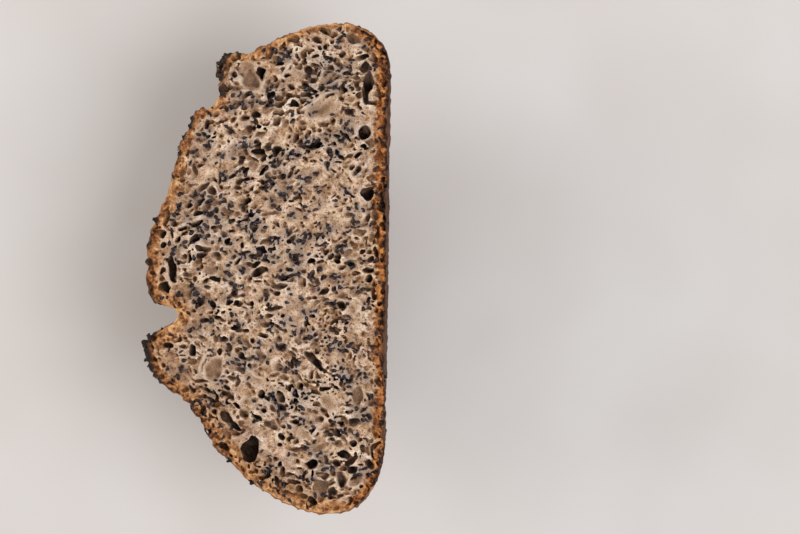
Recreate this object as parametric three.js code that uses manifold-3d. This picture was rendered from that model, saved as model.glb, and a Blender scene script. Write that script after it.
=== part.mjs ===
// Half of a round black sesame sourdough loaf, cut through the middle and lying with its cut face up.
// Units are millimetres, +Z is up and the origin is under the middle of the bounding box.
//
// The loaf was baked standing on its base crust. Here it lies on its side, so three words place
// every point of it:
//   height  distance above the base crust, towards the domed top (runs along -X)
//   across  distance from the middle of the cut face (runs along +Y)
//   depth   distance below the cut face (runs along -Z)

import * as THREE from 'three';
import { mergeVertices } from 'three/addons/utils/BufferGeometryUtils.js';
import Module from 'manifold-3d';

// The baked loaf
const LOAF_RADIUS = 111;
const LOAF_HEIGHT = 107;
const RESTING_DEPTH = 105;

// Where the side bulges most, above the base crust: at the cut face, and on the side it lies on
const BULGE_HEIGHT_CUT = 22;
const BULGE_HEIGHT_UNDER = 37;

// Radius of the flat base crust: at the two ends of the cut face, and on the side it lies on
const FOOT_RADIUS_FIRST = 92;
const FOOT_RADIUS_SECOND = 80;
const FOOT_RADIUS_UNDER = 82;

// The scored ring on the top, which opened in the oven and left a lid inside it
const LID_CENTRE_ACROSS = 26.5;
const LID_HALF_ACROSS = 53.5;
const LID_HALF_DEPTH = 60;
const LID_SQUARENESS = 2.5;

// The opening and the raised ear beside it, at three stations along the score:
// where the cut face meets it at +across, halfway round, and where the cut face meets it again
const SCORE_STATIONS = [
    { groove: 7.0, lidEdge: -9, lip: 9.5, lipRise: 3, lipFlat: 9, lipEnd: 18, curl: 2.0, pinch: 0 },
    { groove: 7.5, lidEdge: -14, lip: 4.5, lipRise: 9, lipFlat: 11, lipEnd: 28, curl: 0.5, pinch: 1 },
    { groove: 11.5, lidEdge: -12, lip: 8.8, lipRise: 3, lipFlat: 15, lipEnd: 36, curl: 3.0, pinch: 4 },
];
const GROOVE_OUTER = 6.5;
const PINCH_DISTANCE = 50;
const PINCH_REACH = 28;

// Slow unevenness of the whole crust, and the few places where it sank or rose more than that.
// Each lies at across and depth on the top; rise is positive outwards and fades over its reach.
const SWELL = 1.0;
const SAGS_AND_RISES = [
    { across: 42, depth: 0, reach: 17, rise: -2.6 },
    { across: 10, depth: 0, reach: 14, rise: 0.8 },
    { across: 30, depth: 38, reach: 20, rise: 1.6 },
    { across: -8, depth: 30, reach: 15, rise: -1.8 },
    { across: -56, depth: 0, reach: 8, rise: 2.2 },
    { across: -52, depth: 52, reach: 20, rise: -2.0 },
    { across: 70, depth: 66, reach: 24, rise: 1.8 },
];

// The core: the point inside the loaf from which the crust is measured, height above the base
const CORE_HEIGHT = 45;

// Mesh density
const RIM_POINTS = 132;
const FINE_RING_STEP = 2.7;
const FINE_RING_END = 64;
const COARSE_RING_STEP = 6.5;
const BUBBLE_SIDES = 10;
const BUBBLE_BANDS = 7;

// The largest bubbles that the knife opened. Each lies at height and across; long, wide and deep
// are half sizes; turn is the angle of its long side from the height direction, in degrees.
const BUBBLES = [
    { height: 61, across: 86.5, long: 6.4, wide: 5.6, deep: 8, turn: 70 },
    { height: 16, across: 104, long: 4.8, wide: 2.8, deep: 5, turn: 10 },
    { height: 8.5, across: 82.5, long: 7.2, wide: 2.7, deep: 6, turn: 92 },
    { height: 28, across: 74.5, long: 10.0, wide: 4.4, deep: 3, turn: 20 },
    { height: 10, across: 62.5, long: 3.9, wide: 3.1, deep: 6, turn: 40 },
    { height: 8, across: 34.5, long: 4.4, wide: 3.2, deep: 6, turn: 80 },
    { height: 10.5, across: -0.5, long: 5.6, wide: 2.4, deep: 5, turn: 8 },
    { height: 96.5, across: -0.5, long: 7.2, wide: 2.5, deep: 5, turn: 88 },
    { height: 89, across: -36.5, long: 3.3, wide: 2.4, deep: 5, turn: 100 },
    { height: 78, across: -45, long: 6.0, wide: 4.4, deep: 5, turn: 75 },
    { height: 33, across: -41, long: 5.6, wide: 2.3, deep: 5, turn: 48 },
    { height: 66.5, across: -55, long: 4.5, wide: 3.2, deep: 4, turn: 60 },
    { height: 13.5, across: -56, long: 6.2, wide: 2.4, deep: 4, turn: 88 },
    { height: 71, across: -68.5, long: 4.7, wide: 4.3, deep: 7, turn: 30 },
    { height: 61.5, across: -82, long: 6.6, wide: 4.4, deep: 9, turn: 78 },
    { height: 13.5, across: -94, long: 4.9, wide: 4.2, deep: 5, turn: 60 },
];

const mix = (a, b, t) => a + (b - a) * t;
const smoothstep = THREE.MathUtils.smoothstep;

// ---- the plain loaf, before it was scored

// turn is the angle round the loaf's axis: 0 at one end of the cut face, pi at the other
function plainShape(turn) {
    const under = Math.sin(turn) ** 2;
    const footAtCut = mix(FOOT_RADIUS_FIRST, FOOT_RADIUS_SECOND, (1 - Math.cos(turn)) / 2);
    return {
        bulge: mix(BULGE_HEIGHT_CUT, BULGE_HEIGHT_UNDER, under),
        foot: mix(footAtCut, FOOT_RADIUS_UNDER, under),
    };
}

function insidePlainLoaf(height, radius, shape) {
    if (height < 0) {
        return false;
    }
    if (height >= shape.bulge) {
        const up = (height - shape.bulge) / (LOAF_HEIGHT - shape.bulge);
        return up ** 2 + (radius / LOAF_RADIUS) ** 2 < 1;
    }
    if (radius < shape.foot) {
        return true;
    }
    const down = (shape.bulge - height) / shape.bulge;
    const out = (radius - shape.foot) / (LOAF_RADIUS - shape.foot);
    return down ** 2 + out ** 2 < 1;
}

// Distance from the core to the plain crust along a direction, found by halving the gap
function plainReach(direction) {
    const turn = Math.atan2(Math.abs(direction.depth), direction.across);
    const shape = plainShape(turn);
    const outward = Math.hypot(direction.across, direction.depth);
    let near = 0;
    let far = 2 * LOAF_RADIUS;
    for (let step = 0; step < 34; step += 1) {
        const middle = (near + far) / 2;
        if (insidePlainLoaf(CORE_HEIGHT + middle * direction.height, middle * outward, shape)) {
            near = middle;
        } else {
            far = middle;
        }
    }
    return near;
}

// ---- the score on the top

// Values of the score halfway between its stations, by the angle round the lid
function scoreAt(along) {
    const place = (along / Math.PI) * (SCORE_STATIONS.length - 1);
    const first = Math.min(Math.floor(place), SCORE_STATIONS.length - 2);
    const blend = smoothstep(place - first, 0, 1);
    const values = {};
    for (const name of Object.keys(SCORE_STATIONS[0])) {
        values[name] = mix(SCORE_STATIONS[first][name], SCORE_STATIONS[first + 1][name], blend);
    }
    return values;
}

// How far the crust stands out (+) or lies back (-) at a distance outside the score's middle line,
// and how far the ear leans in over the opening
function scoreRelief(outside, values) {
    const bottomStart = mix(values.lidEdge, GROOVE_OUTER, 0.55);
    const groove = smoothstep(outside, values.lidEdge, bottomStart)
        * (1 - smoothstep(outside, GROOVE_OUTER - values.lipRise - 2, GROOVE_OUTER));
    const ear = smoothstep(outside, GROOVE_OUTER - values.lipRise, GROOVE_OUTER)
        * (1 - smoothstep(outside, values.lipFlat, values.lipEnd));
    const pinch = Math.exp(-(((outside - PINCH_DISTANCE) / PINCH_REACH) ** 2));
    return {
        reach: values.lip * ear - values.groove * groove - values.pinch * pinch,
        lean: values.curl * ear * (1 - smoothstep(outside, GROOVE_OUTER, values.lipFlat + 4)),
    };
}

function swell(direction) {
    const { height, across, depth } = direction;
    return SWELL * (Math.sin(4.1 * across + 2.3 * height + 0.6)
        * Math.cos(3.3 * depth - 1.7 * height + 0.4)
        + 0.6 * Math.sin(7.2 * height - 5.1 * across + 1.3) * Math.cos(6.1 * depth));
}

function sagsAndRises(across, depth) {
    let sum = 0;
    for (const place of SAGS_AND_RISES) {
        const away = Math.hypot(across - place.across, depth - place.depth) / place.reach;
        sum += place.rise * Math.exp(-(away ** 2));
    }
    return sum;
}

// Distance outside the score's middle line, negative on the lid
function outsideScore(across, depth) {
    const rim = ((Math.abs(across) / LID_HALF_ACROSS) ** LID_SQUARENESS
        + (Math.abs(depth) / LID_HALF_DEPTH) ** LID_SQUARENESS) ** (1 / LID_SQUARENESS);
    if (rim < 0.3) {
        return -LID_HALF_ACROSS;
    }
    return Math.hypot(across, depth) * (1 - 1 / rim);
}

// One point of the crust, as [height, across, depth]
function crustPoint(direction) {
    const plain = plainReach(direction);
    const across = plain * direction.across - LID_CENTRE_ACROSS;
    const depth = plain * direction.depth;
    const onTop = smoothstep(direction.height, -0.15, 0.2);
    const relief = scoreRelief(outsideScore(across, depth), scoreAt(Math.atan2(depth, across)));
    const uneven = swell(direction)
        + onTop * sagsAndRises(across + LID_CENTRE_ACROSS, depth);
    const reach = plain + relief.reach * onTop + uneven;
    const fromCentre = Math.max(Math.hypot(across, depth), 1);
    const leanAcross = (-relief.lean * onTop * across) / fromCentre;
    const leanDepth = (-relief.lean * onTop * depth) / fromCentre;
    return [
        Math.max(CORE_HEIGHT + reach * direction.height, 0),
        reach * direction.across + leanAcross,
        Math.min(Math.max(reach * direction.depth + leanDepth, 0), RESTING_DEPTH),
    ];
}

// ---- the crust as rings of points, from the cut face down to the underside

function directionAt(around, below) {
    return {
        height: Math.cos(below) * Math.sin(around),
        across: Math.cos(below) * Math.cos(around),
        depth: Math.sin(below),
    };
}

// Angles round the rim, spaced so that the points lie evenly along the real outline
function rimAngles() {
    const samples = 4000;
    const lengths = [0];
    let previous = crustPoint(directionAt(0, 0));
    for (let i = 1; i <= samples; i += 1) {
        const next = crustPoint(directionAt((2 * Math.PI * i) / samples, 0));
        const step = Math.hypot(next[0] - previous[0], next[1] - previous[1]);
        lengths.push(lengths[i - 1] + step);
        previous = next;
    }
    const angles = [];
    let sample = 0;
    for (let i = 0; i < RIM_POINTS; i += 1) {
        const wanted = (lengths[samples] * i) / RIM_POINTS;
        while (lengths[sample + 1] < wanted) {
            sample += 1;
        }
        const part = (wanted - lengths[sample]) / (lengths[sample + 1] - lengths[sample]);
        angles.push((2 * Math.PI * (sample + part)) / samples);
    }
    return angles;
}

function ringAngles() {
    const angles = [];
    let angle = 0;
    while (angle < 90 - COARSE_RING_STEP / 2) {
        angles.push(THREE.MathUtils.degToRad(angle));
        angle += angle < FINE_RING_END ? FINE_RING_STEP : COARSE_RING_STEP;
    }
    return angles;
}

// Model axes: height along -X, across along +Y, depth along -Z
const toModel = ([height, across, depth]) => [-height, across, -depth];

function loafGeometry() {
    const around = rimAngles();
    const below = ringAngles();
    const positions = [];
    for (const ring of below) {
        for (const angle of around) {
            positions.push(...toModel(crustPoint(directionAt(angle, ring))));
        }
    }
    positions.push(...toModel(crustPoint(directionAt(0, Math.PI / 2))));
    const lowest = below.length * RIM_POINTS;
    const triangles = [];
    for (let ring = 0; ring < below.length; ring += 1) {
        for (let i = 0; i < RIM_POINTS; i += 1) {
            const next = (i + 1) % RIM_POINTS;
            const a = ring * RIM_POINTS + i;
            const b = ring * RIM_POINTS + next;
            if (ring === below.length - 1) {
                triangles.push(b, a, lowest);
            } else {
                triangles.push(b, a, a + RIM_POINTS);
                triangles.push(b, a + RIM_POINTS, b + RIM_POINTS);
            }
        }
    }
    const rim = around.map((_, i) => new THREE.Vector2(positions[3 * i], positions[3 * i + 1]));
    for (const [a, b, c] of THREE.ShapeUtils.triangulateShape(rim, [])) {
        triangles.push(a, b, c);
    }
    const geometry = new THREE.BufferGeometry();
    geometry.setAttribute('position', new THREE.Float32BufferAttribute(positions, 3));
    geometry.setIndex(triangles);
    return geometry;
}

// ---- the bubbles that the knife opened

function bubbleGeometry(bubble) {
    const geometry = new THREE.SphereGeometry(1, BUBBLE_SIDES, BUBBLE_BANDS);
    geometry.rotateX(Math.PI / 2);
    geometry.scale(bubble.long, bubble.wide, bubble.deep);
    geometry.rotateZ(THREE.MathUtils.degToRad(-bubble.turn));
    const [x, y] = toModel([bubble.height, bubble.across, 0]);
    geometry.translate(x, y, -0.25 * bubble.deep);
    return geometry;
}

// ---- joining and cutting

const wasm = await Module();
wasm.setup();

function solidOf(geometry) {
    const bare = geometry.clone();
    bare.deleteAttribute('normal');
    bare.deleteAttribute('uv');
    const merged = mergeVertices(bare, 1e-4);
    return new wasm.Manifold(new wasm.Mesh({
        numProp: 3,
        vertProperties: new Float32Array(merged.attributes.position.array),
        triVerts: new Uint32Array(merged.index.array),
    }));
}

function geometryOf(solid) {
    const mesh = solid.getMesh();
    const geometry = new THREE.BufferGeometry();
    geometry.setAttribute('position', new THREE.BufferAttribute(mesh.vertProperties, 3));
    geometry.setIndex(new THREE.BufferAttribute(mesh.triVerts, 1));
    return geometry;
}

function halfLoaf() {
    let solid = solidOf(loafGeometry());
    for (const bubble of BUBBLES) {
        solid = solid.subtract(solidOf(bubbleGeometry(bubble)));
    }
    const geometry = geometryOf(solid);
    geometry.computeBoundingBox();
    const { min, max } = geometry.boundingBox;
    geometry.translate(-(min.x + max.x) / 2, -(min.y + max.y) / 2, -min.z);
    geometry.computeVertexNormals();
    return geometry;
}

const crumb = new THREE.MeshStandardMaterial({ color: 0x957b68, roughness: 0.8, metalness: 0 });
const mesh = new THREE.Mesh(halfLoaf(), crumb);
mesh.name = 'half_loaf';

const group = new THREE.Group();
group.add(mesh);

export default group;
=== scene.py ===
# %% [markdown]
# # Half a black sesame sourdough loaf, lying with its cut face up
# A sourdough loaf has two looks. Outside is the crust: dry, blistered, and nearly black where the
# scored dough lifted into ears. Inside is the crumb: a soft foam whose bubbles the knife opened.
# Both are made here from one distance field, because a bubble is a hollow taken out of a solid and
# fields join and cut without any of the trouble that meshes give. Lengths are in millimetres until
# a mesh is made, which is where they turn to metres.

import math

import bmesh
import bpy
import numpy as np
import openvdb
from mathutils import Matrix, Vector


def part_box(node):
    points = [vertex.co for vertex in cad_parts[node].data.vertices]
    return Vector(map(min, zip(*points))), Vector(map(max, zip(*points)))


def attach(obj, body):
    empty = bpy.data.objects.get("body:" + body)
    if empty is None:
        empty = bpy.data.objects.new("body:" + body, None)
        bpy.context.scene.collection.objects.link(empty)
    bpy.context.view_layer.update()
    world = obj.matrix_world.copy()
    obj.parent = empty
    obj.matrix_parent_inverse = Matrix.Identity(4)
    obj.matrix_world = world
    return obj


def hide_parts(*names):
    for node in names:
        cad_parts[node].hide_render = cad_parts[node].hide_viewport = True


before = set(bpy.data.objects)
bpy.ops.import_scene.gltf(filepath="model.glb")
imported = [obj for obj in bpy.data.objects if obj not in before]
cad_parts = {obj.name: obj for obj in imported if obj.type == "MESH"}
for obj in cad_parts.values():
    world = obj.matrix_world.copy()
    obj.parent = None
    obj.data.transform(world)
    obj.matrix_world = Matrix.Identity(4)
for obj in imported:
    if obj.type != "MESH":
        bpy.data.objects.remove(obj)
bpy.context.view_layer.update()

MM = 0.001
lowest, highest = (np.array(corner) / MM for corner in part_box("half_loaf"))
base_x = highest[0]
cut_z = highest[2]
print("half loaf, mm:", np.round(highest - lowest, 1))

# %% [markdown]
# ## The view
# The camera hangs above the loaf and looks straight down at the cut face, a little to the base
# crust's side. A long lens keeps the perspective weak, as it is when one stands back from a table.

# %% Camera
# how wide the view is at the cut face
VIEW_WIDTH = 362.4
LENS = 85.0
SENSOR = 36.0
CAMERA_PAST_BASE = 6.0
CAMERA_ACROSS = 1.0
CAMERA_ROLL = math.radians(0.95)


def into_scene(name, data):
    made = bpy.data.objects.new(name, data)
    bpy.context.scene.collection.objects.link(made)
    return made


camera_data = bpy.data.cameras.new("camera")
camera_data.lens = LENS
camera_data.sensor_width = SENSOR
camera = into_scene("camera", camera_data)
camera_height = cut_z + VIEW_WIDTH * LENS / SENSOR
camera.location = [v * MM for v in (base_x + CAMERA_PAST_BASE, CAMERA_ACROSS, camera_height)]
camera.rotation_euler = (0, 0, CAMERA_ROLL)
bpy.context.scene.camera = camera
print("camera above the cut face, mm:", round(camera_height - cut_z))

# %% [markdown]
# ## The crust as a distance field
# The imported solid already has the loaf's form: the flat base crust, the domed side, the scored lid
# and its ears. What is wanted from it is how deep inside the crust any point lies. The cut face
# isn't crust, so it is left out, the opened bubbles too, and the rest is mirrored in the cut to
# close the loaf again. A level set then holds the distance to that closed crust.

# %% Crust triangles, without the cut face and the bubbles
WELD = 1e-6
FACE_SLACK = 1e-5


def crust_triangles(cad):
    mesh = bmesh.new()
    mesh.from_mesh(cad.data)
    bmesh.ops.remove_doubles(mesh, verts=mesh.verts, dist=WELD)
    face_level = cut_z * MM - FACE_SLACK
    cut = [f for f in mesh.faces if min(v.co.z for v in f.verts) > face_level]
    bmesh.ops.delete(mesh, geom=cut, context="FACES")
    start = min(mesh.verts, key=lambda v: v.co.z)
    reached = {start}
    front = [start]
    while front:
        for edge in front.pop().link_edges:
            for vert in edge.verts:
                if vert not in reached:
                    reached.add(vert)
                    front.append(vert)
    bmesh.ops.delete(mesh, geom=[v for v in mesh.verts if v not in reached], context="VERTS")
    mesh.verts.index_update()
    points = np.array([v.co for v in mesh.verts]) / MM
    triangles = np.array([[v.index for v in f.verts] for f in mesh.faces])
    mesh.free()
    return points, triangles


crust_points, crust_faces = crust_triangles(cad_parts["half_loaf"])
mirrored = crust_points * [1, 1, -1] + [0, 0, 2 * cut_z]
loaf_points = np.vstack([crust_points, mirrored]).astype(np.float32)
loaf_faces = np.vstack([crust_faces, crust_faces[:, ::-1] + len(crust_points)]).astype(np.uint32)
print("crust triangles:", len(crust_faces))

# %% Distance to the crust on a grid with a point every millimetre
INWARD_BAND = 19
OUTWARD_BAND = 12
MARGIN = 8


def grid_axes(low_corner, high_corner, step):
    return [np.arange(math.floor(a / step), math.ceil(b / step) + 1) * step
            for a, b in zip(low_corner, high_corner)]


level_set = openvdb.FloatGrid.createLevelSetFromPolygons(
    loaf_points, triangles=loaf_faces, transform=openvdb.createLinearTransform(voxelSize=1.0),
    exBandWidth=OUTWARD_BAND, inBandWidth=INWARD_BAND)
coarse_axes = grid_axes(lowest - MARGIN, highest + MARGIN, 1.0)
crust_depth = np.zeros([len(axis) for axis in coarse_axes], np.float32)
level_set.copyToArray(crust_depth, ijk=[int(axis[0]) for axis in coarse_axes])
crust_depth = -crust_depth
print("distance grid:", crust_depth.shape, "deepest:", crust_depth.max())

# %% [markdown]
# ## Unevenness
# Dough is never even. One helper makes smooth random fields: a coarse lattice of random numbers,
# blended along each axis with a B-spline curve. The lattice is tied to the loaf and not to the
# grid, so a fine grid and a coarse one read the same bumps.

# %% Smooth noise and readings of a field
LATTICE_MARGIN = 20
LATTICE_START = lowest - LATTICE_MARGIN
# a place reads four points of the lattice, and one more is to spare
LATTICE_SPARE = 5
# the blended numbers spread less than the lattice's own, and dividing by this makes up for it
BLENDED_SPREAD = 0.33


def read_along_axes(field, readings):
    """Each reading is the first point that every new point reads on its axis, and the weights."""
    for axis, (first, weights) in enumerate(readings):
        shape = [-1 if i == axis else 1 for i in range(3)]
        field = sum(np.take(field, first + step, axis) * weight.astype(np.float32).reshape(shape)
                    for step, weight in enumerate(weights))
    return field


def spline_reading(axis, start, spacing):
    place = (axis - start) / spacing
    first = np.floor(place).astype(int)
    f = place - first
    curve = [(1 - f) ** 3, 3 * f ** 3 - 6 * f ** 2 + 4, -3 * f ** 3 + 3 * f ** 2 + 3 * f + 1, f ** 3]
    return first, [values / 6 for values in curve]


def noise(axes, spacing, seed):
    # the lattice is always as large as the whole loaf needs, so that every grid draws the same one
    spacings = np.broadcast_to(spacing, 3)
    ends = highest + LATTICE_MARGIN
    shape = [int((end - start) / gap) + LATTICE_SPARE
             for end, start, gap in zip(ends, LATTICE_START, spacings)]
    lattice = np.random.default_rng(seed).standard_normal(shape).astype(np.float32)
    readings = [spline_reading(a, s, d) for a, s, d in zip(axes, LATTICE_START, spacings)]
    return read_along_axes(lattice, readings) / BLENDED_SPREAD


def linear_reading(axis, old_axis):
    # the clip ends just before the last point, which has no neighbour to blend with
    place = np.clip((axis - old_axis[0]) / (old_axis[1] - old_axis[0]), 0, len(old_axis) - 1.001)
    first = place.astype(int)
    return first, [1 - (place - first), place - first]


def resample(field, old_axes, new_axes):
    return read_along_axes(field, [linear_reading(n, o) for o, n in zip(old_axes, new_axes)])


def read_at(field, axes, points):
    readings = [linear_reading(points[:, n], axis) for n, axis in enumerate(axes)]
    total = 0.0
    for corner in range(8):
        steps = [(corner >> n) & 1 for n in range(3)]
        where = tuple(first + step for (first, weights), step in zip(readings, steps))
        weight = np.prod([weights[step] for (first, weights), step in zip(readings, steps)], axis=0)
        total = total + weight * field[where]
    return total


def smooth_step(value, low_end, high_end):
    t = np.clip((value - low_end) / (high_end - low_end), 0, 1)
    return t * t * (3 - 2 * t)


# %% [markdown]
# ## Where the crust stands proud and where it split
# The ears stick out of the loaf's general form and burn; the opened score lies below it and stays
# paler. A strongly blurred copy of the distance field is that general form, so the blurred value at
# the crust says how far a place stands out.

# %% How far the crust stands out of the general form
GENERAL_FORM = 7.0
FORM_STEP = 3

form_axes = [axis[::FORM_STEP] for axis in coarse_axes]
general_form = crust_depth[::FORM_STEP, ::FORM_STEP, ::FORM_STEP]
for axis in form_axes:
    kernel = np.exp(-0.5 * ((axis[:, None] - axis[None, :]) / GENERAL_FORM) ** 2)
    general_form = np.tensordot(general_form, kernel / kernel.sum(1, keepdims=True), axes=(0, 1))
stands_out = -general_form.astype(np.float32)
print("general form grid:", stands_out.shape)

# %% [markdown]
# ## The crumb's grid
# Only the slab under the cut face needs fine detail, so it gets a grid of its own with a point
# every 0.4 mm. Below it, a coarser grid is enough for the crust.

# %% The fine slab
FINE_STEP = 0.4
SLAB_DEPTH = 13.0
FACE_MARGIN = 4.0
ABOVE_CUT = 2.0

slab_axes = grid_axes(
    [lowest[0] - FACE_MARGIN, lowest[1] - FACE_MARGIN, cut_z - SLAB_DEPTH],
    [highest[0] + FACE_MARGIN, highest[1] + FACE_MARGIN, cut_z + ABOVE_CUT], FINE_STEP)
slab_shape = [len(axis) for axis in slab_axes]
slab_crust = resample(crust_depth, coarse_axes, slab_axes)
print("slab grid:", slab_shape)

# %% [markdown]
# ## Crust roughness
# Baking blisters the skin: broad swells, bubbles a few millimetres wide, and a fine roughness from
# flour and tiny blisters. The flat base lay on the hot stone and is smoother.

# %% Roughness of the crust
# how high the bumps are, how far apart, and their seed
SWELLS = (0.45, 9.0, 11)
BLISTERS = (0.5, 4.2, 12)
TORN_SKIN = [(0.4, 3.2, 16), (0.3, 2.2, 17)]
FINE_SKIN = (0.26, 1.5, 13)
BLISTERS_ABOVE = 0.4
BASE_SHARE = 0.35
BASE_HEIGHTS = (3, 14)
SCORE_LEVELS = (-2.0, -0.9)


def bumps(axes, amount, spacing, seed, above=None):
    """Smooth random bumps, of which only those above a value are kept if one is given."""
    field = noise(axes, spacing, seed)
    return amount * (field if above is None else np.maximum(field - above, 0))


def crust_roughness(axes):
    height = base_x - axes[0][:, None, None]
    off_base = BASE_SHARE + (1 - BASE_SHARE) * smooth_step(height, *BASE_HEIGHTS)
    raised = bumps(axes, *SWELLS) + bumps(axes, *BLISTERS, above=BLISTERS_ABOVE)
    torn_skin = sum(bumps(axes, *sizes) for sizes in TORN_SKIN)
    in_score = 1 - smooth_step(resample(stands_out, form_axes, axes), *SCORE_LEVELS)
    return raised * off_base + torn_skin * in_score + bumps(axes, *FINE_SKIN)


slab_crust += crust_roughness(slab_axes)
print("greatest depth in the slab, mm:", round(float(slab_crust.max()), 1))

# %% [markdown]
# ## The open score
# The score gaped widest in the middle of the loaf, where it was then cut through. Near the cut
# face its walls go nearly straight down, so the notch stays open to the floor. The face's own
# outline, read in a window round the notch, sets the limit for the crust below it.

# %% Keeping the notch open below the cut face
NOTCH_MIDDLE = (104.0, -27.0)
NOTCH_WINDOW = (12.0, 12.0)
NOTCH_SLOPE = 0.05
NOTCH_DEPTH = (56.0, 96.0)
NOTCH_EDGE = (0.8, 1.3)
NO_LIMIT = 30

cut_axis = np.array([cut_z, cut_z + 1.0])
outline_axes = [coarse_axes[0], coarse_axes[1], cut_axis]
face_outline = np.repeat(resample(crust_depth, coarse_axes, outline_axes)[:, :, :1], 2, axis=2)


def open_notch(depth, axes):
    """Trims a crust field so that nothing under the notch sticks out past the face's outline."""
    x, y, z = (axis.reshape([-1 if i == n else 1 for i in range(3)]) for n, axis in enumerate(axes))
    below = np.maximum(cut_z - z, 0)
    limit = resample(face_outline, outline_axes, [axes[0], axes[1], cut_axis])
    limit = limit[:, :, :1] + NOTCH_SLOPE * below
    aside = np.maximum(np.abs(base_x - NOTCH_MIDDLE[0] - x) / NOTCH_WINDOW[0],
                       np.abs(y - NOTCH_MIDDLE[1]) / NOTCH_WINDOW[1])
    limit = limit + NO_LIMIT * smooth_step(aside, *NOTCH_EDGE) + NO_LIMIT * smooth_step(below, *NOTCH_DEPTH)
    return np.minimum(depth, limit).astype(np.float32)


slab_crust = open_notch(slab_crust, slab_axes)
print("notch open, mm below the cut face:", NOTCH_DEPTH[0])

# %% [markdown]
# ## Charred lumps on the ears
# Where a scored edge lifts, its rim dries, curls and burns to brittle black lumps. They are small
# balls, drawn out downwards, that are merged into the crust's field along the two ears and
# roughened like coke. Lumps modelled one by one would need joining; in the field they grow out of
# the crust without a seam, and the same list later tells the finish where the crust is black.

# %% Lumps of char
# height above the base crust, across, radius
CHAR_LUMPS = [
    (77.5, 92, 1.8), (76, 93.5, 1.2), (77, 87, 1.4), (76.5, 85, 1.0), (79, 78, 1.5), (78, 80, 1.1),
    (73, 94.5, 0.9), (69, 95.5, 0.7), (91, 67, 1.2), (92, 64, 0.9), (93.5, 58, 0.8), (95, 51, 0.7),
    (109.5, -34, 1.5), (106.5, -34, 1.2), (104.5, -33.5, 0.8), (109, -37, 1.6), (108.5, -40, 1.5),
    (107, -43, 1.4), (105.5, -46, 1.2), (104, -49, 1.0), (102, -52, 0.8), (107, 2, 1.0), (105, 9, 0.6),
    (103.5, 20, 0.9), (99, 40, 0.7), (87, -64, 0.7), (79, -75, 0.8), (69, -87, 0.8), (59, -97, 0.7),
]
# how many times as deep as wide, how far its middle lies under the cut, and how much of its radius
# its middle lies inside the crust
LUMP_DEPTH = 1.6
LUMP_BELOW = 1.3
LUMP_INSIDE = 0.25
SEATING_ROUNDS = 4
SEATING_STEP = 0.5
FLATTEST_SLOPE = 0.3
FAR_OFF = 99.0
COKE = (0.75, 1.4, 14)
COKE_FADE = 2.0
GRIT = (0.1, 0.9, 15)


def seated(height, across, radius):
    """Moves a lump in or out until it stands out of the crust by most of its radius."""
    x, y = base_x - height, across
    for _ in range(SEATING_ROUNDS):
        near = read_at(face_outline, outline_axes, np.array(
            [[x, y, cut_z], [x + SEATING_STEP, y, cut_z], [x, y + SEATING_STEP, cut_z]]))
        inward = np.array([near[1] - near[0], near[2] - near[0]]) / SEATING_STEP
        inward /= max(np.hypot(*inward), FLATTEST_SLOPE)
        x, y = np.array([x, y]) + inward * (LUMP_INSIDE * radius - near[0])
    return x, y, radius


def distance_to_char(points_x, points_y, points_z):
    """How far points lie from the nearest lump, less its radius."""
    shape = np.broadcast_shapes(points_x.shape, points_y.shape, points_z.shape)
    nearest = np.full(shape, FAR_OFF, np.float32)
    for x, y, radius in char_lumps:
        flat = (points_x - x) ** 2 + (points_y - y) ** 2
        upright = ((points_z - cut_z + LUMP_BELOW) / LUMP_DEPTH) ** 2
        np.minimum(nearest, np.sqrt(flat + upright) - radius, out=nearest)
    return nearest


char_lumps = [seated(*lump) for lump in CHAR_LUMPS]
place = [axis.reshape([-1 if i == n else 1 for i in range(3)]).astype(np.float32)
         for n, axis in enumerate(slab_axes)]
char_distance = distance_to_char(*place)
slab_crust = np.maximum(slab_crust, -char_distance)
coke = bumps(slab_axes, *COKE) * (1 - smooth_step(char_distance, 0.0, COKE_FADE))
slab_crust += coke + bumps(slab_axes, *GRIT)
print("lumps of char:", len(CHAR_LUMPS))

# %% [markdown]
# ## The way the dough was stretched
# Bubbles aren't round: folding and shaping pulled them out long. Beside the crust they lie along
# it; in the middle of the loaf they climb a little, and in its second half they fall. The field of
# angles below says which way a bubble's long side lies, anywhere on the cut face.

# %% Angles of the bubbles' long sides
MID_ANGLES = [(-111, 10), (-85, 0), (-60, -28), (-35, -32), (-12, 8), (20, 18), (60, 14), (111, 8)]
CRUST_REACH = (3, 10.0)
BLUR_STEPS = range(-4, 5, 2)
MM2_IN_CM2 = 100

face_layer = int(np.argmin(np.abs(slab_axes[2] - cut_z)))
face_depth = slab_crust[:, :, face_layer]
blurred_depth = sum(np.roll(face_depth, (i, j), (0, 1)) for i in BLUR_STEPS for j in BLUR_STEPS)
slope_x, slope_y = np.gradient(blurred_depth)
crust_angle = np.arctan2(slope_x, -slope_y)
across_marks, mid_degrees = zip(*MID_ANGLES)
mid_angle = np.radians(np.interp(slab_axes[1], across_marks, mid_degrees))[None, :]
near_crust = 1 - smooth_step(face_depth, *CRUST_REACH)
# an angle and its opposite are the same for a bubble, so the two are blended as doubled angles
long_side = 0.5 * np.arctan2(
    near_crust * np.sin(2 * crust_angle) + (1 - near_crust) * np.sin(2 * mid_angle),
    near_crust * np.cos(2 * crust_angle) + (1 - near_crust) * np.cos(2 * mid_angle))
face_area = np.count_nonzero(face_depth > 0) * FINE_STEP ** 2
print("cut face, cm2:", round(face_area / MM2_IN_CM2))
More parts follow.
